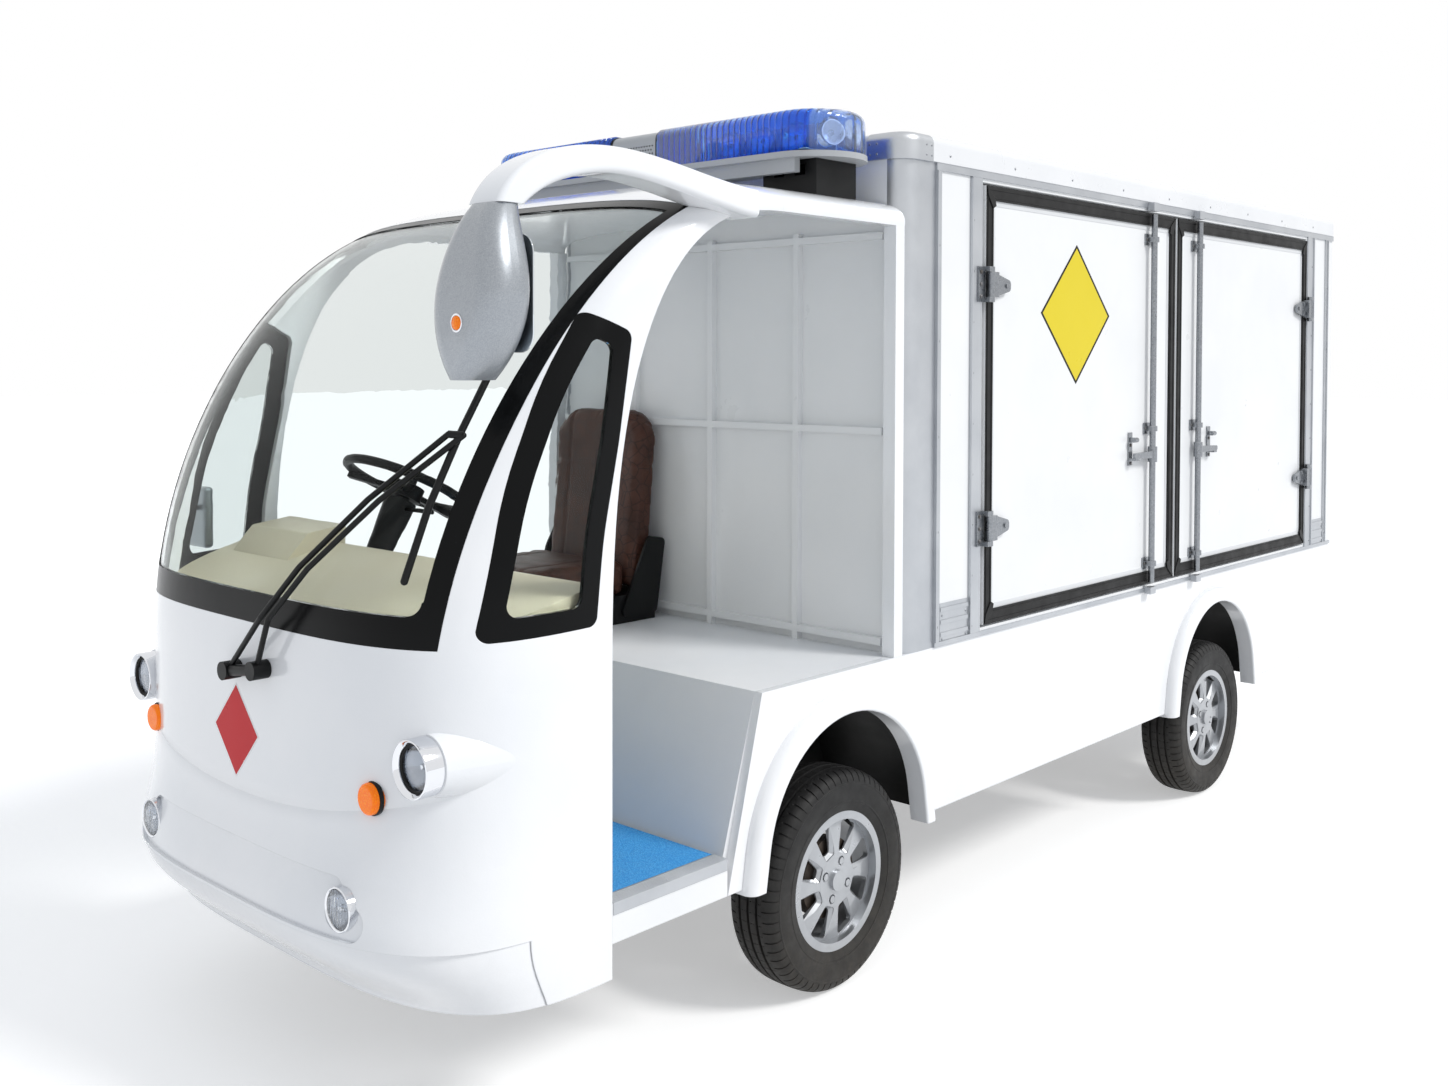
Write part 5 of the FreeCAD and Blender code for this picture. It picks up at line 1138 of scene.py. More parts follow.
def frame_rivets():
    """Rivets up the door frame strips and along the roof rails."""
    spots = []
    for side in SIDES.values():
        for strip in STRIP_RIVETS:
            column = [(strip["at"], z) for z in evenly(strip["from"], STRIP_TOP, strip["pitch"])]
            spots += side_spots(side, FRAME_FACE, column)
        rail = [(distance, RAIL_Z) for distance in evenly(RAIL_FROM, RAIL_TO, RAIL_PITCH)]
        spots += side_spots(side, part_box("box_roof")[1].x, rail)
    copied("frame_rivets", rivet(*FRAME_RIVET), spots, "zinc", "chassis")


def kick_panel_bolts():
    """Bolts at the corners of the ribbed kick panels."""
    spots = []
    for side in SIDES.values():
        for start, end in KICK_PANELS:
            for distance in (start + KICK_BOLT_INSET, end - KICK_BOLT_INSET):
                places = [(distance, z) for z in KICK_BOLT_Z]
                spots += side_spots(side, BODY_SIDE + KICK_PANEL_PROUD, places)
    copied("kick_panel_bolts", rivet(*KICK_RIVET), spots, "zinc", "chassis")


def hinge_bolts():
    """Three bolts down each fixed hinge plate, near its outer edge."""
    spots = []
    for low, high in solids("door_hinges"):
        side = 1 if low.x > 0 else -1
        front = low.y < behind(BOX_MIDDLE)
        y = low.y + HINGE_BOLT_INSET if front else high.y - HINGE_BOLT_INSET
        for step in (-1, 0, 1):
            z = (low.z + high.z) / 2 + step * HINGE_BOLT_PITCH
            spots.append((Vector((side * (FRAME_FACE + HINGE_PLATE), y, z)), (side, 0.0, 0.0)))
    copied("hinge_bolts", bolt(*HINGE_BOLT), spots, "steel", "chassis")


# Door trim

SEAL = 42 * MM
EDGE_PROFILE = 16 * MM
EDGE_HEIGHTS = (-1 * MM, 1.6 * MM)
SEAL_LIP_INSETS = (9 * MM, 33 * MM)
SEAL_LIP = 3 * MM
SEAL_LIP_HEIGHTS = (5 * MM, 8.6 * MM)
SEAL_CORNER = ((2, 2), (44, 34), (52, 58), (36, 66), (8, 30))
SEAL_CORNER_HEIGHTS = (6 * MM, 10.5 * MM)
SEAL_FROM = 0.5 * MM
LOCK_ROD = {"front": 1729.5, "rear": 2103.5}
LEVER = {"front": 1597.5, "rear": 2235.5}
ROD_GUIDE_Z = (946.0, 1420.0, 2080.0)
ROD_BOLT_OFFSETS = (-24.0, 24.0)
LEVER_BOLT_Z = (1304.0, 1366.0)
ROD_GUIDE_PROUD = 5.5 * MM


def door_line(node, side, inset):
    """Outline of a door leaf, moved inwards, as seen from outside."""
    low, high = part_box(node)
    line = rectangle(low.y + inset, high.y - inset, low.z + inset, high.z - inset)
    return [(y * side, z) for y, z in line]


def door_face(side):
    """The plane of a side's panels."""
    return facing((side * BODY_SIDE, 0.0, 0.0), (side, 0.0, 0.0))


def door_edge(node, side):
    """White profile that borders the panel inside the seal."""
    trim = Stock()
    outer = door_line(node, side, SEAL)
    trim.band(outer, door_line(node, side, SEAL + EDGE_PROFILE), *EDGE_HEIGHTS, door_face(side))
    trim.made(node + "_edge", "aluminium_white", node, "white_panel", bevel=0.5 * MM)


def seal_lips(node, side):
    """Two raised lips round a door's seal."""
    lips = Stock()
    for inset in SEAL_LIP_INSETS:
        outer = door_line(node, side, inset)
        lips.band(outer, door_line(node, side, inset + SEAL_LIP), *SEAL_LIP_HEIGHTS, door_face(side))
    lips.made(node + "_seal_lips", "black_rubber", node, "black_rubber", bevel=0.8 * MM)


def seal_corners(node, side):
    """Mitred flaps of rubber over the corners of a door's seal."""
    low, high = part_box(node)
    flaps = Stock()
    for y, way in ((low.y, 1), (high.y, -1)):
        for z, rise in ((low.z, 1), (high.z, -1)):
            corner = [((y + way * across * MM) * side, z + rise * up * MM) for across, up in SEAL_CORNER]
            flaps.slab(corner, *SEAL_CORNER_HEIGHTS, door_face(side))
    flaps.made(node + "_seal_corners", "black_rubber", node, "black_rubber", bevel=1.2 * MM)


def door_bolts(node, side, end):
    """Bolts of the rod guides and of the lever's plate."""
    places = [(LOCK_ROD[end] + offset, z) for z in ROD_GUIDE_Z for offset in ROD_BOLT_OFFSETS]
    places += [(LEVER[end], z) for z in LEVER_BOLT_Z]
    spots = side_spots(side, BODY_SIDE + ROD_GUIDE_PROUD, places)
    copied(node + "_bolts", bolt(*ROD_BOLT), spots, "steel", node)


def blacken_seal(node):
    """Black rubber on the faces of a door that stand proud of the body's side."""
    leaf = frame["nodes"][node].data
    leaf.materials.append(MATERIALS["black_rubber"])
    for face in leaf.polygons:
        if abs(face.center.x) > BODY_SIDE + SEAL_FROM:
            face.material_index = 1


def door_dressing():
    """Seals, edge profiles and bolts on all four doors."""
    for side_name, side in SIDES.items():
        for end in LOCK_ROD:
            node = "door_" + side_name + "_" + end
            door_edge(node, side)
            seal_lips(node, side)
            seal_corners(node, side)
            door_bolts(node, side, end)
            blacken_seal(node)


# Signs laid on the panels

PLACARD_CENTRE = (1218.0, 1806.0)
PLACARD_HALF = 225.0
PLACARD_LINE = 8.0
OUTLINE_HEIGHTS = (-0.5 * MM, 0.6 * MM)
YELLOW_HEIGHTS = (-0.5 * MM, 0.4 * MM)
MARK_CENTRE = (-13.0, 811.0)
MARK_HALF = (95.0, 103.0)
MARK_LINE = 5.0
MARK_STEPS = 6
MARK_OUTLINE_LIFT = 0.5
MARK_LIFT = 1.0
MARK_BACK = 0.4


def placard():
    """Blank yellow diamond with a thin black outline on the left front door."""
    distance, z = PLACARD_CENTRE
    face = facing((BODY_SIDE, behind(distance), z * MM), (1.0, 0.0, 0.0))
    outer = PLACARD_HALF * MM
    inner = (PLACARD_HALF - PLACARD_LINE * math.sqrt(2)) * MM
    line = Stock().band(lozenge(outer, outer), lozenge(inner, inner), *OUTLINE_HEIGHTS, face)
    line.made("placard_outline", "black_film", "door_left_front", "black_plastic")
    inner = (PLACARD_HALF - PLACARD_LINE) * MM
    yellow = Stock().slab(lozenge(inner, inner), *YELLOW_HEIGHTS, face)
    yellow.made("placard", "yellow_film", "door_left_front", "white_panel")


def laid_lozenge(tree, half_x, half_z, lift):
    """A thin lozenge that follows the nose's curve, lifted off it."""
    corners = lozenge(half_x, half_z)
    outline = []
    for (x, z), (next_x, next_z) in zip(corners, corners[1:] + corners[:1]):
        for step in range(MARK_STEPS):
            share = step / MARK_STEPS
            outline.append((x + (next_x - x) * share, z + (next_z - z) * share))
    places = outline + [(x * 0.5, z * 0.5) for x, z in outline] + [(0.0, 0.0)]
    points = []
    for x, z in places:
        hit = seen_from_front(tree, MARK_CENTRE[0] + x, MARK_CENTRE[1] + z)[0]
        points.append(hit - Vector((0.0, lift * MM, 0.0)))
    count = len(outline)
    base = len(points)
    tip = 2 * count
    front = between(0, count, count)
    front += [(count + first, tip, count + (first + 1) % count) for first in range(count)]
    back = [tuple(base + corner for corner in reversed(face)) for face in front]
    points += [point + Vector((0.0, (lift + MARK_BACK) * MM, 0.0)) for point in points]
    return Stock().add(points, front + back + between(0, base, count))


def nose_mark():
    """Plain red lozenge with a thin white outline, laid on the nose."""
    nose = surface("front_cowl")
    half_x, half_z = MARK_HALF
    outline = laid_lozenge(nose, half_x + MARK_LINE, half_z + MARK_LINE, MARK_OUTLINE_LIFT)
    outline.made("nose_mark_outline", "white_film", "chassis", "white_shell")
    red = laid_lozenge(nose, half_x, half_z, MARK_LIFT)
    red.made("nose_mark", "red_film", "chassis", "red_lens")


# Roof corner caps

CAP_REACH = 62 * MM
CAP_LIFT = 1.6 * MM
CAP_CORNER = 69 * MM
CAP_SHOULDER = 24 * MM
CAP_BELOW = 2 * MM
CAP_THICKNESS = 3 * MM
CAP_HEEL = 6 * MM
CAP_STEPS = 10
CAP_RIVET_SHARES = (0.45, 0.85)
CAP_RIVET_HEIGHTS = (14 * MM, 42 * MM)


def cap_section(low, high):
    """The cap's own section, as distances out from the roof's edge and heights."""
    bottom = low.z - CAP_BELOW
    top = high.z + CAP_LIFT
    section = [(CAP_LIFT, bottom), (CAP_LIFT, top - CAP_SHOULDER - CAP_LIFT)]
    section += arc_points((-CAP_SHOULDER, high.z - CAP_SHOULDER), CAP_SHOULDER + CAP_LIFT, 0.0, 90.0)
    return section + [(-CAP_REACH, top), (-CAP_REACH, top - CAP_THICKNESS), (-CAP_HEEL, bottom)]


def add_cap(caps, section, centre, side):
    """Carries the section round one front corner of the roof, with a straight leg on both sides."""
    stations = [(centre + Vector((-side * CAP_REACH, 0.0, 0.0)), 270.0)]
    stations += [(centre, 270.0 + 90.0 * step / CAP_STEPS) for step in range(CAP_STEPS + 1)]
    stations.append((centre + Vector((0.0, CAP_REACH, 0.0)), 360.0))
    points = []
    for place, angle in stations:
        turn = math.radians(angle)
        out = Vector((side * math.cos(turn), math.sin(turn), 0.0))
        for across, height in section:
            points.append(place + out * (CAP_CORNER + across) + Vector((0.0, 0.0, height)))
    count = len(section)
    last = len(points) - count
    faces = [list(range(count)), list(range(last, len(points)))]
    for start in range(0, last, count):
        faces += between(start, start + count, count)
    caps.add(points, faces)


def roof_corner_caps():
    """Cast caps over the roof's front corners, with a rounded shoulder and rivets."""
    low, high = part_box("box_roof")
    caps = Stock()
    spots = []
    for side in SIDES.values():
        centre = Vector((side * (high.x - CAP_CORNER), low.y + CAP_CORNER, 0.0))
        add_cap(caps, cap_section(low, high), centre, side)
        face = CAP_CORNER + CAP_LIFT
        for share in CAP_RIVET_SHARES:
            for height in CAP_RIVET_HEIGHTS:
                reach = CAP_REACH * share
                spots.append((centre + Vector((side * face, reach, low.z + height)), (side, 0.0, 0.0)))
                spots.append((centre + Vector((-side * reach, -face, low.z + height)), (0.0, -1.0, 0.0)))
    caps.made("roof_corner_caps", "aluminium", "chassis", "aluminium", sharp=30.0)
    copied("cap_rivets", rivet(*CAP_RIVET), spots, "zinc", "chassis")


# Wheels: the tyre's outline is (across, radius)

PITCHES = 64
TREAD_GROOVES = (0.0, 28.0, -28.0)
GROOVE_HALF = 4.2
GROOVE_SLOPE = 1.0
GROOVE_DEPTH = 7.0
SHOULDER = 42.0
SHOULDER_SLOT = 3.2
SHOULDER_FADE = 0.55
CENTRE_RIB = (5.0, 9.0)
RIB_SIPE = 4.0
WALL_RINGS = ((205.0, 208.5), (253.0, 257.0))
RING_HEIGHT = 1.1
RING_SLOPE = 0.7
BEAD_RADIUS = 181.0
WALL_TOP = 262.0
SHOULDER_TOP = 277.0
CROWN_RADIUS = 280.0
LONGEST_STEP = 6.0
CROWN_RISE = 0.15
TYRE_SHAPE = ((56.7, 168.0), (56.7, 181.3), (66.7, 181.3), (71.0, 192.0), (74.0, 205.0), (76.3, 220.0),
              (77.4, 235.2), (77.0, 250.0), (75.2, 262.0), (72.0, 270.5), (66.7, 277.2), (60.5, 281.8),
              (52.7, 285.2), (42.0, 287.3), (31.0, 288.2), (15.0, 288.9), (0.0, 289.0))
PITCH_SHARES = (0.0, 0.045, 0.055, 0.185, 0.195, 0.36, 0.525, 0.535, 0.565, 0.575, 0.78, 1.0)
SLOT_SHARES = (0.05, 0.19)
SIPE_SHARES = (0.53, 0.57)
PITCH_TWIST = 0.05


def split_at(line, axis, mark, lowest):
    """Adds a point where an outline passes a mark on one axis, above a lowest radius."""
    for index, (first, second) in enumerate(zip(line, line[1:])):
        run = second[axis] - first[axis]
        share = (mark - first[axis]) / run if run else 0.0
        if 0.0 < share <= 1.0 and first[1] >= lowest:
            line.insert(index + 1, tuple(a + (b - a) * share for a, b in zip(first, second)))
            return


def tyre_line():
    """Half of the tyre's (across, radius) outline, with extra points at the rings and grooves."""
    line = []
    for (across, radius), (next_across, next_radius) in zip(TYRE_SHAPE, TYRE_SHAPE[1:]):
        line.append((across, radius))
        on_crown = radius >= BEAD_RADIUS and next_across < TYRE_SHAPE[2][0]
        if on_crown and abs(next_across - across) > LONGEST_STEP:
            line.append(((across + next_across) / 2, (radius + next_radius) / 2 + CROWN_RISE))
    line.append(TYRE_SHAPE[-1])
    for ring in WALL_RINGS:
        for edge in ring:
            split_at(line, 1, edge - RING_SLOPE, BEAD_RADIUS)
            split_at(line, 1, edge + RING_SLOPE, BEAD_RADIUS)
    edges = {abs(centre) + way * half for centre in TREAD_GROOVES for way in (-1, 1)
             for half in (GROOVE_HALF, GROOVE_HALF - GROOVE_SLOPE)}
    for across in sorted((edge for edge in edges if edge > 0), reverse=True):
        split_at(line, 0, across, CROWN_RADIUS)
    return line


def tread_depth(across, radius, share):
    """How deep the tread is cut at a place: round grooves, slots in the shoulder, sipes in the ribs."""
    wide = abs(across)
    if radius < WALL_TOP:
        return 0.0
    if any(abs(across - centre) < GROOVE_HALF - GROOVE_SLOPE / 2 for centre in TREAD_GROOVES):
        return GROOVE_DEPTH
    if wide > SHOULDER:
        fade = 1.0 if radius > SHOULDER_TOP else SHOULDER_FADE
        return SHOULDER_SLOT * fade if SLOT_SHARES[0] < share < SLOT_SHARES[1] else 0.0
    inner, outer = CENTRE_RIB
    if wide <= inner or (wide > outer and abs(wide - TREAD_GROOVES[1]) > outer):
        return 0.0
    return RIB_SIPE if SIPE_SHARES[0] < share < SIPE_SHARES[1] else 0.0


def skin_height(across, radius, share):
    """How far the tyre's skin stands off its plain outline."""
    if any(low <= radius <= high for low, high in WALL_RINGS):
        return RING_HEIGHT
    return -tread_depth(across, radius, share)


def tyre_pitch():
    """One pitch of the tyre's skin, about the X axis."""
    half = tyre_line()
    line = half + [(-across, radius) for across, radius in reversed(half[:-1])]
    count = len(line)
    points = []
    for share in PITCH_SHARES:
        for index, (across, radius) in enumerate(line):
            before = line[max(index - 1, 0)]
            after = line[min(index + 1, count - 1)]
            run = Vector((after[0] - before[0], after[1] - before[1])).normalized()
            outward = Vector((run.y, -run.x))
            moved = Vector((across, radius)) + outward * skin_height(across, radius, share % 1.0)
            lean = across / SHOULDER if radius > WALL_TOP else math.copysign(1.0, across or 1.0)
            angle = 2 * math.pi * (share + PITCH_TWIST * lean) / PITCHES
            points.append((moved.x * MM, -math.sin(angle) * moved.y * MM, math.cos(angle) * moved.y * MM))
    faces = []
    for start in range(0, len(points) - count, count):
        faces += between(start, start + count, count)
    mesh = bpy.data.meshes.new("tyre pitch")
    mesh.from_pydata(points, [], faces)
    return mesh


def tyres():
    """Four tyres with grooved tread and plain raised rings on their walls."""
    pitch = tyre_pitch()
    values = {"Count": PITCHES, "Weld": 0.02 * MM, "Finish": MATERIALS["tyre"]}
    for wheel in WHEELS:
        node = "tyre_" + wheel
        mesh = grown(pitch.copy(), RING, values)
        turn_outwards(mesh)
        mesh.transform(Matrix.Translation(middle(node)))
        piece = placed(mesh, node + "_tread", "tyre", "wheel_" + wheel, sharp=32.0)
        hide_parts(node)


DRUM_FACE = 30.5 * MM
DRUM_RADII = (66 * MM, 106 * MM)
VALVE_TURN = 22.5
VALVE_RADIUS = 158 * MM
VALVE_OUT = 34 * MM
VALVE_LEAN = 0.5
VALVE = ((0.0, 36.0), (3.0, 35.0), (3.4, 26.0), (4.6, 24.0), (5.6, 4.0), (8.0, 0.0), (0.0, 0.0))


def blacken_drum(wheel, side):
    """Dark iron on the brake drum behind a rim's spokes."""
    rim = frame["nodes"]["rim_" + wheel].data
    rim.materials.append(MATERIALS["drum_iron"])
    hub = middle("tyre_" + wheel)
    for face in rim.polygons:
        place = face.center - hub
        radius = math.hypot(place.y, place.z)
        if side * place.x < DRUM_FACE and DRUM_RADII[0] < radius < DRUM_RADII[1]:
            face.material_index = 1


def valve(wheel, side):
    """Rubber valve stem in a rim."""
    turn = math.radians(VALVE_TURN)
    up = Vector((0.0, math.sin(turn), math.cos(turn)))
    foot = middle("tyre_" + wheel) + up * VALVE_RADIUS + Vector((side * VALVE_OUT, 0.0, 0.0))
    place = facing(foot, Vector((side, 0.0, 0.0)) - up * VALVE_LEAN, up)
    stem = Stock().turned(VALVE, place, segments=16)
    stem.made("valve_" + wheel, "black_rubber", "wheel_" + wheel, "black_rubber")


def rim_finishes():
    """Dark brake drums and valves."""
    for wheel, side in WHEELS.items():
        blacken_drum(wheel, side)
        valve(wheel, side)


# Lamps: outlines are (radius, depth)

HEADLAMP = {
    "face": 20.0, "lens": 20.0, "dome": 5.0, "flutes": 0.0, "sink": 0.0,
    "ring": ((49.6, 19.0), (49.6, 10.0), (55.5, 1.6), (58.0, 0.2), (60.2, 1.2), (61.0, 4.0), (61.0, 62.0),
             (30.0, 62.0), (30.0, 58.0), (49.6, 52.0)),
    "bowl": ((48.5, 27.0), (46.0, 32.0), (40.0, 40.0), (31.0, 48.0), (20.0, 54.0), (10.0, 57.0),
             (10.0, 60.0), (22.0, 57.0), (34.0, 51.0), (43.0, 42.5), (49.4, 32.0), (49.4, 27.0)),
}
FOG_LAMP = {
    "face": 2.0, "lens": 2.5, "dome": 4.0, "flutes": 1.1, "sink": -22.0,
    "ring": ((41.8, 8.0), (41.8, 3.0), (43.6, 0.6), (45.6, 0.1), (47.0, 1.8), (47.0, 50.0), (30.0, 50.0),
             (30.0, 46.0), (41.8, 42.0)),
    "bowl": ((41.0, 9.0), (38.0, 15.0), (31.0, 23.0), (22.0, 30.0), (9.0, 35.0), (9.0, 38.0),
             (23.0, 33.0), (33.0, 26.0), (40.0, 16.0), (41.7, 9.0)),
}
LARGEST_FOG_LENS = 45 * MM
HEADLAMP_SEAL = ((49.6, 14.0), (48.6, 12.8), (45.6, 15.0), (44.6, 18.4), (46.0, 19.8), (49.6, 19.8))
BULB = ((0.0, 36.0), (5.0, 37.2), (8.0, 41.0), (8.6, 46.0), (7.0, 52.0), (7.0, 58.5), (0.0, 58.5))
BULB_CAP = ((0.0, 31.0), (4.5, 31.6), (6.2, 34.0), (6.6, 38.5), (0.0, 38.5))
LENS_RINGS = 12
LENS_SEGMENTS = 56
LENS_THICKNESS = 3.0
FLUTE_WIDTH = 3.4


def lens_points(radius, kind):
    """Points of a lens from its middle outwards: the domed front, then the back with its flutes."""
    points = []
    for back in (0, 1):
        for ring in range(LENS_RINGS + 1):
            share = ring / LENS_RINGS
            for step in range(LENS_SEGMENTS if ring else 1):
                angle = 2 * math.pi * step / LENS_SEGMENTS
                x = radius * share * math.cos(angle)
                y = radius * share * math.sin(angle)
                ribs = kind["flutes"] * abs(math.sin(x / (FLUTE_WIDTH * MM))) * (1 - share ** 6)
                depth = -kind["dome"] * (1 - share ** 2) + (LENS_THICKNESS - ribs) * back
                points.append((x, y, depth * MM))
    return points


def add_lens(stock, radius, kind, place):
    """Adds a lens with a domed front, fluted inside where its kind has flutes."""
    points = lens_points(radius, kind)
    half = len(points) // 2
    rim = half - LENS_SEGMENTS
    faces = between(rim, half + rim, LENS_SEGMENTS)
    for start in (0, half):
        for step in range(LENS_SEGMENTS):
            faces.append((start, start + 1 + step, start + 1 + (step + 1) % LENS_SEGMENTS))
        for inner in range(start + 1, start + rim, LENS_SEGMENTS):
            faces += between(inner, inner + LENS_SEGMENTS, LENS_SEGMENTS)
    stock.add(points, faces, place)


def front_lamp_parts():
    """Headlamps and fog lamps: turned rings, bowls, seals, bulbs and lenses."""
    rings = Stock()
    bowls = Stock()
    seals = Stock()
    bulbs = Stock()
    caps = Stock()
    lenses = Stock()
    for low, high in solids("lamp_lenses"):
        radius = (high.x - low.x) / 2
        kind = HEADLAMP if radius > LARGEST_FOG_LENS else FOG_LAMP
        place = facing(centre_at(low, high, low.y - kind["face"] * MM), (0.0, 1.0, 0.0))
        rings.turned(kind["ring"], place, segments=64)
        bowls.turned(kind["bowl"], place, segments=48)
        bulbs.turned(BULB, place @ raised(kind["sink"]), segments=20)
        caps.turned(BULB_CAP, place @ raised(kind["sink"]), segments=20)
        add_lens(lenses, radius, kind, place @ raised(kind["lens"]))
        if kind is HEADLAMP:
            seals.turned(HEADLAMP_SEAL, place, segments=64)
    ring = rings.made("lamp_rings", "chrome", "chassis", "alloy", sharp=30.0)
    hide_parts("front_lamps")
    bowls.made("lamp_bowls", "bowl_chrome", "chassis", "alloy", sharp=40.0)
    seals.made("headlamp_seals", "black_rubber", "chassis", "black_rubber")
    bulbs.made("lamp_bulbs", "bulb_glass", "chassis", "lamp_glass")
    caps.made("bulb_caps", "chrome", "chassis", "alloy")
    lens = lenses.made("clear_lenses", "lamp_glass", "chassis", "lamp_glass", sharp=60.0)
    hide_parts("lamp_lenses")


SIGNAL_RING = ((33.2, -6.0), (36.0, -6.0), (36.4, 1.0), (35.0, 3.0), (33.2, 3.4))
SIGNAL_DOME = 17 * MM
REPEATER_X = 729.0
REPEATER_Z = 1727.0
REPEATER = ((0.0, 5.5), (8.0, 4.6), (13.5, 2.2), (15.0, -2.0), (0.0, -2.0))
REPEATER_RING = ((15.0, -3.0), (19.0, -3.0), (18.6, 1.6), (16.6, 2.6), (15.0, 2.0))


def signal_rings():
    """Thin dark rings round the amber domes."""
    rings = Stock()
    for low, high in solids("turn_signals"):
        centre = centre_at(low, high, low.y + SIGNAL_DOME)
        rings.turned(SIGNAL_RING, facing(centre, (0.0, -1.0, 0.0)))
    rings.made("signal_rings", "black_plastic", "chassis", "black_plastic")


def mirror_repeater():
    """Amber repeater in a bright ring on the large mirror's head."""
    place = facing(*seen_from_front(surface("mirror_heads"), REPEATER_X, REPEATER_Z))
    Stock().turned(REPEATER, place, segments=32).made("mirror_repeater", "amber", "chassis", "amber")
    Stock().turned(REPEATER_RING, place, segments=32).made("repeater_ring", "chrome", "chassis", "alloy")


MIRROR_HALF_X = 74 * MM
MIRROR_HALF_Z = 118 * MM
MIRROR_CORNER = 38 * MM
MIRROR_Z = 1788 * MM
MIRROR_RIM = 1 * MM
MIRROR_HEIGHTS = (-2 * MM, 1.2 * MM)
SMALL_MIRROR_BACK = -990.0
SMALL_MIRROR_INSET = 12 * MM
SMALL_MIRROR_WIDTH = 89 * MM
SMALL_MIRROR_CORNER = 14 * MM
SMALL_MIRROR_HEIGHTS = (-1 * MM, 1.2 * MM)


def mirror_glasses():
    """Silvered glass on the rear faces of both mirrors."""
    boxes = sorted(solids("mirror_heads"), key=lambda corners: corners[0].x)
    small_low, small_high = boxes[0]
    large_low, large_high = boxes[-1]
    glass = Stock()
    centre = ((large_low.x + large_high.x) / 2, large_high.y - MIRROR_RIM, MIRROR_Z)
    outline = rounded_outline(MIRROR_HALF_X, MIRROR_HALF_Z, MIRROR_CORNER)
    glass.slab(outline, *MIRROR_HEIGHTS, facing(centre, (0.0, 1.0, 0.0)))
    x = small_low.x + SMALL_MIRROR_INSET + SMALL_MIRROR_WIDTH / 2
    centre = (x, behind(SMALL_MIRROR_BACK), (small_low.z + small_high.z) / 2)
    half_z = (small_high.z - small_low.z) / 2 - SMALL_MIRROR_INSET
    outline = rounded_outline(SMALL_MIRROR_WIDTH / 2, half_z, SMALL_MIRROR_CORNER)
    glass.slab(outline, *SMALL_MIRROR_HEIGHTS, facing(centre, (0.0, 1.0, 0.0)))
    glass.made("mirror_glass", "mirror", "chassis", "alloy", bevel=0.4 * MM)


TAIL_FRAME_OUT = (5 * MM, 4.5 * MM)
TAIL_FRAME_CORNERS = (9 * MM, 5 * MM)
TAIL_FRAME_LAP = 0.2 * MM
TAIL_FRAME_DEPTH = 14 * MM
TAIL_RIBS = 6
TAIL_RIB_HEIGHTS = (-1 * MM, 1.4 * MM)
TAIL_RIB_HALF = 1.5 * MM
TAIL_RIB_INSET = 6 * MM


def tail_lamp_parts():
    """Black frames round the tail lamps and clear ribs across them."""
    frames = Stock()
    ribs = Stock()
    for low, high in solids("tail_lamps"):
        place = facing(centre_at(low, high, low.y), (0.0, 1.0, 0.0))
        half_x = (high.x - low.x) / 2
        half_z = (high.z - low.z) / 2
        out_x, out_z = TAIL_FRAME_OUT
        outer_corner, inner_corner = TAIL_FRAME_CORNERS
        outer = rounded_outline(half_x + out_x, half_z + out_z, outer_corner)
        inner = rounded_outline(half_x - TAIL_FRAME_LAP, half_z - TAIL_FRAME_LAP, inner_corner)
        frames.band(outer, inner, 0.0, TAIL_FRAME_DEPTH, place)
        rib_low, rib_high = [high.y - low.y + height for height in TAIL_RIB_HEIGHTS]
        for step in range(TAIL_RIBS):
            x = -half_x + 2 * half_x * (step + 0.5) / TAIL_RIBS
            reach = half_z - TAIL_RIB_INSET
            line = rectangle(x - TAIL_RIB_HALF, x + TAIL_RIB_HALF, -reach, reach)
            ribs.slab(line, rib_low, rib_high, place)
    frames.made("tail_lamp_frames", "black_plastic", "chassis", "black_plastic", bevel=1 * MM)
    ribs.made("tail_lamp_ribs", "red_lens", "chassis", "red_lens", bevel=0.8 * MM)


# Beacon bar

BEACON_WALL = 3 * MM
BEACON_FLOOR = 4 * MM
DISHES = 5
DISH_FIRST = 175 * MM
DISH_PITCH = 118 * MM
DISH_RISE = 48 * MM
DISH_BACK = 12 * MM
DISH_TILT = 0.12
DISH = ((40.0, 30.0), (34.0, 18.0), (22.0, 8.0), (8.0, 3.0), (8.0, 0.0), (24.0, 4.5), (36.0, 15.0),
        (42.0, 30.0))
BEACON_BULB = ((0.0, 30.0), (6.0, 27.0), (8.0, 20.0), (8.0, 3.0), (0.0, 3.0))
ALLEY_DISH = ((31.0, 30.0), (27.0, 16.0), (16.0, 6.0), (0.0, 2.0), (0.0, 0.0), (18.0, 3.5),
              (29.0, 14.0), (33.5, 30.0))
ALLEY_INSET = 52 * MM
ALLEY_BEHIND = 16.0
ALLEY_RISE = 44 * MM
ALLEY_OUT = (0.92, -0.38, 0.05)
TRAY_FROM = 106 * MM
TRAY_END = 60 * MM
TRAY_EDGE = 12 * MM
TRAY_FOOT = 3.2 * MM
TRAY_TOP = 2 * MM
DIVIDER_HALF = 3 * MM
DIVIDER_DROP = 22 * MM
SPEAKER_HALF = 100 * MM
SPEAKER_RING = 9 * MM
SPEAKER_CORNER = 30 * MM
SPEAKER_INSET = 3 * MM
SPEAKER_SLIM = 0.985
HOLE = ((0.0, 0.25), (2.6, 0.25), (3.1, -0.2), (0.0, -0.2))
HOLE_PITCH = 11.0
HOLE_REACH = 82.0
HOLE_ROWS = (2226.0, 2237.0, 2248.0, 2259.0, 2270.0)
HOLES_EACH_SIDE = 7
SPEAKER_FACE = 5.1 * MM


def beacon_domes():
    """The blue domes as a hollow shell."""
    dome = clone("light_bar", "beacon_domes", "blue_dome", "chassis", sharp=40.0)
    wall = dome.modifiers.new("wall", "SOLIDIFY")
    wall.thickness = BEACON_WALL
    wall.offset = -1.0


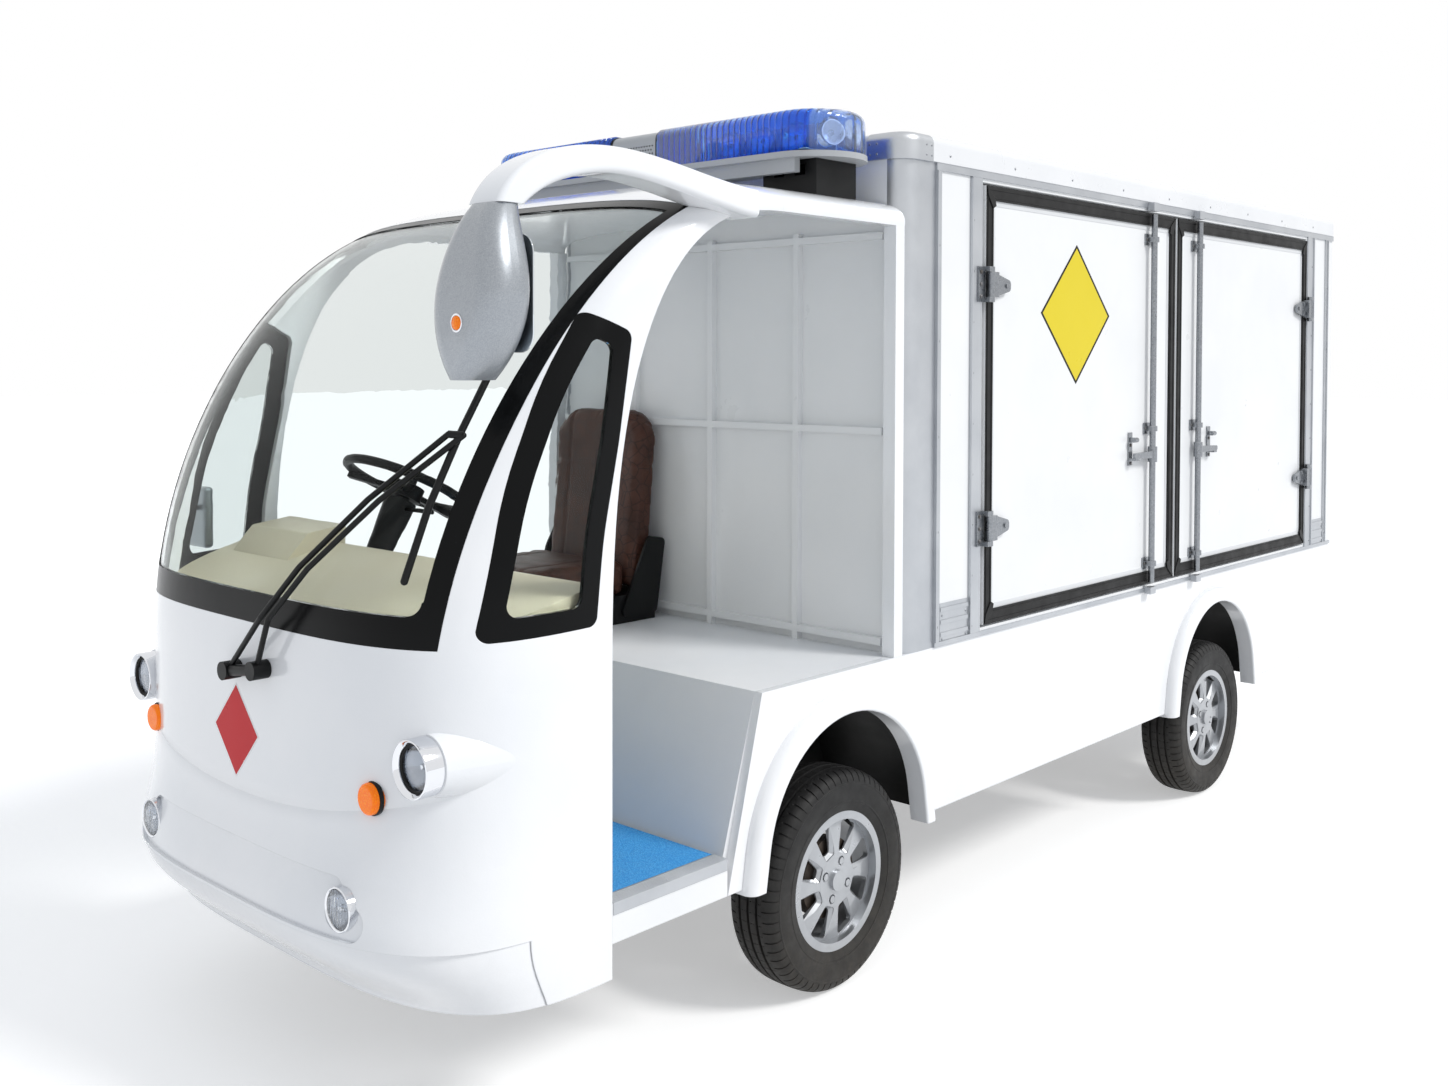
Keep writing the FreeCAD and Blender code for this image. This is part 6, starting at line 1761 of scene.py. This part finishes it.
def beacon_dishes():
    """Bright bowls with bulbs back to back along the bar, and a white one that looks out of each end."""
    low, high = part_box("light_bar")
    centre_y = (low.y + high.y) / 2
    floor = low.z + BEACON_FLOOR
    spots = []
    ends = []
    for side in SIDES.values():
        for step in range(DISHES):
            x = side * (DISH_FIRST + DISH_PITCH * step)
            for way in (-1, 1):
                foot = Vector((x, centre_y + way * DISH_BACK, floor + DISH_RISE))
                spots.append((foot, (0.0, way, DISH_TILT)))
        end = Vector((side * (high.x - ALLEY_INSET), behind(ALLEY_BEHIND), floor + ALLEY_RISE))
        ends.append((end, (side * ALLEY_OUT[0], ALLEY_OUT[1], ALLEY_OUT[2])))
    dish = Stock().turned(DISH, segments=28)
    bulb = Stock().turned(BEACON_BULB, segments=16)
    alley = Stock().turned(ALLEY_DISH, segments=32)
    copied("beacon_dishes", dish, spots, "chrome", "chassis", sharp=40.0)
    copied("beacon_bulbs", bulb, spots + ends, "bulb_glass", "chassis")
    copied("alley_lamps", alley, ends, "white_reflector", "chassis", sharp=40.0)


def beacon_tray():
    """A floor under the bowls and a divider between their backs."""
    low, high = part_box("light_bar")
    centre_y = (low.y + high.y) / 2
    floor = low.z + BEACON_FLOOR
    base = Stock()
    for side in SIDES.values():
        x0, x1 = sorted((side * TRAY_FROM, side * (high.x - TRAY_END)))
        divider_top = high.z - DIVIDER_DROP
        base.block((x0, centre_y - DIVIDER_HALF, floor), (x1, centre_y + DIVIDER_HALF, divider_top))
        first = (x0, low.y + TRAY_EDGE, low.z + TRAY_FOOT)
        base.block(first, (x1, high.y - TRAY_EDGE, floor + TRAY_TOP))
    base.made("beacon_tray", "tray", "chassis", "grey_plastic", bevel=1 * MM)


def speaker_rings():
    """Black rings over both edges of the speaker."""
    low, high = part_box("light_bar")
    centre_y = (low.y + high.y) / 2
    front = low.y + SPEAKER_INSET
    back = high.y - SPEAKER_INSET
    top = high.z - SPEAKER_INSET
    corner = SPEAKER_CORNER
    line = [(front, low.z), (front, top - corner)]
    line += arc_points((front + corner, top - corner), corner, 180.0, 90.0)
    line += arc_points((back - corner, top - corner), corner, 90.0, 0.0)
    line.append((back, low.z))
    rings = Stock()
    for side in (-1, 1):
        place = facing((side * (SPEAKER_HALF - SPEAKER_RING), 0.0, 0.0), (side, 0.0, 0.0))
        outer = [(y * side, z) for y, z in line]
        inner = []
        for y, z in line:
            slim_y = y * SPEAKER_SLIM + centre_y * (1 - SPEAKER_SLIM)
            inner.append((slim_y * side, z - SPEAKER_INSET if z > low.z else z))
        rings.band(outer, inner, 0.0, SPEAKER_RING, place)
    rings.made("speaker_rings", "black_plastic", "chassis", "black_plastic", bevel=0.8 * MM)


def speaker_holes():
    """Black discs of painted shade for the perforations over the speaker's front and rear faces."""
    low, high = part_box("light_bar")
    spots = []
    for row, z in enumerate(HOLE_ROWS):
        for step in range(-HOLES_EACH_SIDE, HOLES_EACH_SIDE + 1):
            x = (step + 0.5 * (row % 2)) * HOLE_PITCH
            if abs(x) > HOLE_REACH:
                continue
            spots.append((Vector((x * MM, low.y + SPEAKER_FACE, z * MM)), (0.0, -1.0, 0.0)))
            spots.append((Vector((x * MM, high.y - SPEAKER_FACE, z * MM)), (0.0, 1.0, 0.0)))
    hole = Stock().turned(HOLE, segments=10)
    # Painted shade: each hole is a small black disc laid on the face.
    copied("speaker_holes", hole, spots, "black_film", "chassis")


# Cab: a sill strip is (inner, outer, low, high), measured from the body's side and the cab floor

SILL_FRONT = -818.0
SILL_REAR = -450.0
SILL_ANGLE = ((-46.0, 2.0, 0.0, 2.5), (0.2, 2.0, -26.0, 1.0))
SILL_RIBS = tuple((across, across + 2.4, 1.5, 3.6) for across in range(-40, 0, 6))


def thresholds():
    """Ribbed aluminium angles on the doorway sills."""
    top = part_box("cab_floor")[1].z
    for name, side in SIDES.items():
        angle = Stock()
        for inner, outer, low, high in SILL_ANGLE + SILL_RIBS:
            x0, x1 = sorted((side * (BODY_SIDE + inner * MM), side * (BODY_SIDE + outer * MM)))
            first = (x0, behind(SILL_FRONT), top + low * MM)
            angle.block(first, (x1, behind(SILL_REAR), top + high * MM))
        angle.made("threshold_" + name, "aluminium", "chassis", "aluminium", bevel=0.5 * MM)


# Seat pads

PAD_VOXEL = 6 * MM
PAD_PRESSURE = 4.0
PAD_FRAMES = 20
PAD_SHRINK = 7 * MM
PAD_SWELL = 13 * MM
SEAM_DEPTH = 3.5 * MM
SEAM_WIDTH = 7 * MM
SEAM_SHARE = 0.27
CROSS_SEAM = 190 * MM


def slim_mesh(node):
    """A node's shape, drawn in a little on every side."""
    shape = merged(node)
    low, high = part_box(node)
    centre = (low + high) / 2
    for vertex in shape.verts:
        for axis in range(3):
            size = high[axis] - low[axis]
            share = (size - 2 * PAD_SHRINK) / size
            vertex.co[axis] = centre[axis] + (vertex.co[axis] - centre[axis]) * share
    mesh = bpy.data.meshes.new(node + " pad")
    shape.to_mesh(mesh)
    shape.free()
    return mesh


def baked(piece):
    """Applies a piece's modifiers and returns its new mesh."""
    mesh = evaluated(piece)
    piece.modifiers.clear()
    piece.data = mesh
    return mesh


def stuff(pad, start):
    """Swells a pad with air as cloth, and holds each point within reach of where it started."""
    cloth = pad.modifiers.new("stuffing", "CLOTH")
    cloth.settings.use_pressure = True
    cloth.settings.uniform_pressure_force = PAD_PRESSURE
    cloth.settings.effector_weights.gravity = 0.0
    cloth.settings.quality = 5
    cloth.point_cache.frame_start = 1
    cloth.point_cache.frame_end = PAD_FRAMES
    for moment in range(1, PAD_FRAMES + 1):
        bpy.context.scene.frame_set(moment)
    mesh = baked(pad)
    bpy.context.scene.frame_set(1)
    for vertex, place in zip(mesh.vertices, start):
        moved = vertex.co - place
        if not math.isfinite(moved.length):
            vertex.co = place
        elif moved.length > PAD_SWELL:
            vertex.co = place + moved * (PAD_SWELL / moved.length)
    return mesh


def press_seams(mesh, seams):
    """Presses sewn channels into a pad: each is an axis and a place on it."""
    mesh.update()
    normals = [vertex.normal.copy() for vertex in mesh.vertices]
    for vertex, normal in zip(mesh.vertices, normals):
        depth = max(math.exp(-((vertex.co[axis] - place) / SEAM_WIDTH) ** 2) for axis, place in seams)
        vertex.co -= normal * (SEAM_DEPTH * depth)


def seat_pad(node):
    """A stuffed leather pad in the space of its node, with two channels down its length."""
    bpy.context.scene.frame_set(1)
    pad = bpy.data.objects.new(node + "_pad", slim_mesh(node))
    bpy.context.scene.collection.objects.link(pad)
    remesh = pad.modifiers.new("even mesh", "REMESH")
    remesh.mode = "VOXEL"
    remesh.voxel_size = PAD_VOXEL
    mesh = baked(pad)
    start = [vertex.co.copy() for vertex in mesh.vertices]
    mesh = stuff(pad, start)
    low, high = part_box(node)
    spread = (high.x - low.x) * SEAM_SHARE
    seams = [(0, (low.x + high.x) / 2 + way * spread) for way in (-1, 1)]
    if node == "seat_backrest":
        seams.append((2, high.z - CROSS_SEAM))
    press_seams(mesh, seams)
    smooth = pad.modifiers.new("smooth", "SUBSURF")
    smooth.levels = 1
    smooth.render_levels = 1
    mesh.materials.clear()
    mesh.materials.append(MATERIALS["leather"])
    smooth_faces(mesh)
    if node == "seat_cushion":
        for vertex in mesh.vertices:
            vertex.co.z = max(vertex.co.z, low.z)
    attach(pad, "chassis")
    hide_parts(node)


def dress_vehicle():
    """Everything that is laid over or inside the frame's own nodes."""
    frame_rivets()
    kick_panel_bolts()
    hinge_bolts()
    door_dressing()
    placard()
    nose_mark()
    roof_corner_caps()
    tyres()
    rim_finishes()
    front_lamp_parts()
    signal_rings()
    mirror_repeater()
    mirror_glasses()
    tail_lamp_parts()
    beacon_domes()
    beacon_dishes()
    beacon_tray()
    speaker_rings()
    speaker_holes()
    thresholds()
    seat_pad("seat_cushion")
    seat_pad("seat_backrest")


# Light, floor and camera

def seen_directly(tree):
    """1 where the camera sees a thing, straight or through gloss or glass; 0 for light that it scatters."""
    path = tree.nodes.new("ShaderNodeLightPath").outputs
    seen = math_node(tree, "ADD", path["Is Camera Ray"], path["Is Glossy Ray"])
    return math_node(tree, "ADD", seen, path["Is Transmission Ray"])


def make_sky():
    """A plain pale sky: even light on the object, and white where the camera, gloss or glass sees it."""
    world = bpy.data.worlds.new("sky")
    world.use_nodes = True
    tree = world.node_tree
    tree.nodes.clear()
    pale = {"Color": display(240, 245, 252), "Strength": SKY_STRENGTH}
    light = add(tree, "ShaderNodeBackground", pale).outputs[0]
    shown = add(tree, "ShaderNodeBackground", {"Color": WHITE, "Strength": 1.0}).outputs[0]
    mixed = mix_shaders(tree, seen_directly(tree), light, shown)
    add(tree, "ShaderNodeOutputWorld", {"Surface": mixed})
    bpy.context.scene.world = world


def make_sun():
    """One wide sun from behind the vehicle's left side."""
    sun = bpy.data.lights.new("sun", "SUN")
    sun.energy = SUN_STRENGTH
    sun.angle = math.radians(SUN_WIDTH)
    sun.color = SUN_COLOUR
    lamp = bpy.data.objects.new("sun", sun)
    lamp.rotation_euler = Vector(SUN_FROM).to_track_quat("Z", "Y").to_euler()
    bpy.context.scene.collection.objects.link(lamp)


def pale_floor():
    """The floor's material: what the camera sees of it is lifted to white and keeps its shadows."""
    material = bpy.data.materials.new("pale floor")
    material.use_nodes = True
    tree = material.node_tree
    tree.nodes.clear()
    matt = add(tree, "ShaderNodeBsdfDiffuse", {"Color": FLOOR_GREY}).outputs[0]
    lift = add(tree, "ShaderNodeEmission", {"Color": WHITE, "Strength": FLOOR_LIFT}).outputs[0]
    both = add(tree, "ShaderNodeAddShader", {0: matt, 1: lift}).outputs[0]
    mixed = mix_shaders(tree, seen_directly(tree), matt, both)
    add(tree, "ShaderNodeOutputMaterial", {"Surface": mixed})
    return material


def make_floor():
    """A wide pale floor."""
    mesh = bpy.data.meshes.new("floor")
    corners = rectangle(-FLOOR_REACH, FLOOR_REACH, -FLOOR_REACH, FLOOR_REACH)
    mesh.from_pydata([(x, y, 0.0) for x, y in corners], [], [(0, 1, 2, 3)])
    mesh.materials.append(pale_floor())
    floor = bpy.data.objects.new("floor", mesh)
    bpy.context.scene.collection.objects.link(floor)


def make_camera():
    """The photograph's viewpoint."""
    camera = bpy.data.cameras.new("camera")
    camera.lens = CAMERA_LENS
    camera.shift_y = CAMERA_SHIFT
    camera.clip_end = CAMERA_REACH
    holder = bpy.data.objects.new("camera", camera)
    turn = Matrix.Rotation(math.radians(CAMERA_TURN), 4, "Z")
    tilt = Matrix.Rotation(math.radians(90.0 - CAMERA_TILT), 4, "X")
    roll = Matrix.Rotation(math.radians(CAMERA_ROLL), 4, "Z")
    holder.matrix_world = Matrix.Translation(CAMERA_PLACE) @ turn @ tilt @ roll
    bpy.context.scene.collection.objects.link(holder)
    bpy.context.scene.camera = holder


finish_frame_nodes()
dress_vehicle()
make_sky()
make_sun()
make_floor()
make_camera()
bpy.context.scene.view_settings.view_transform = "Standard"
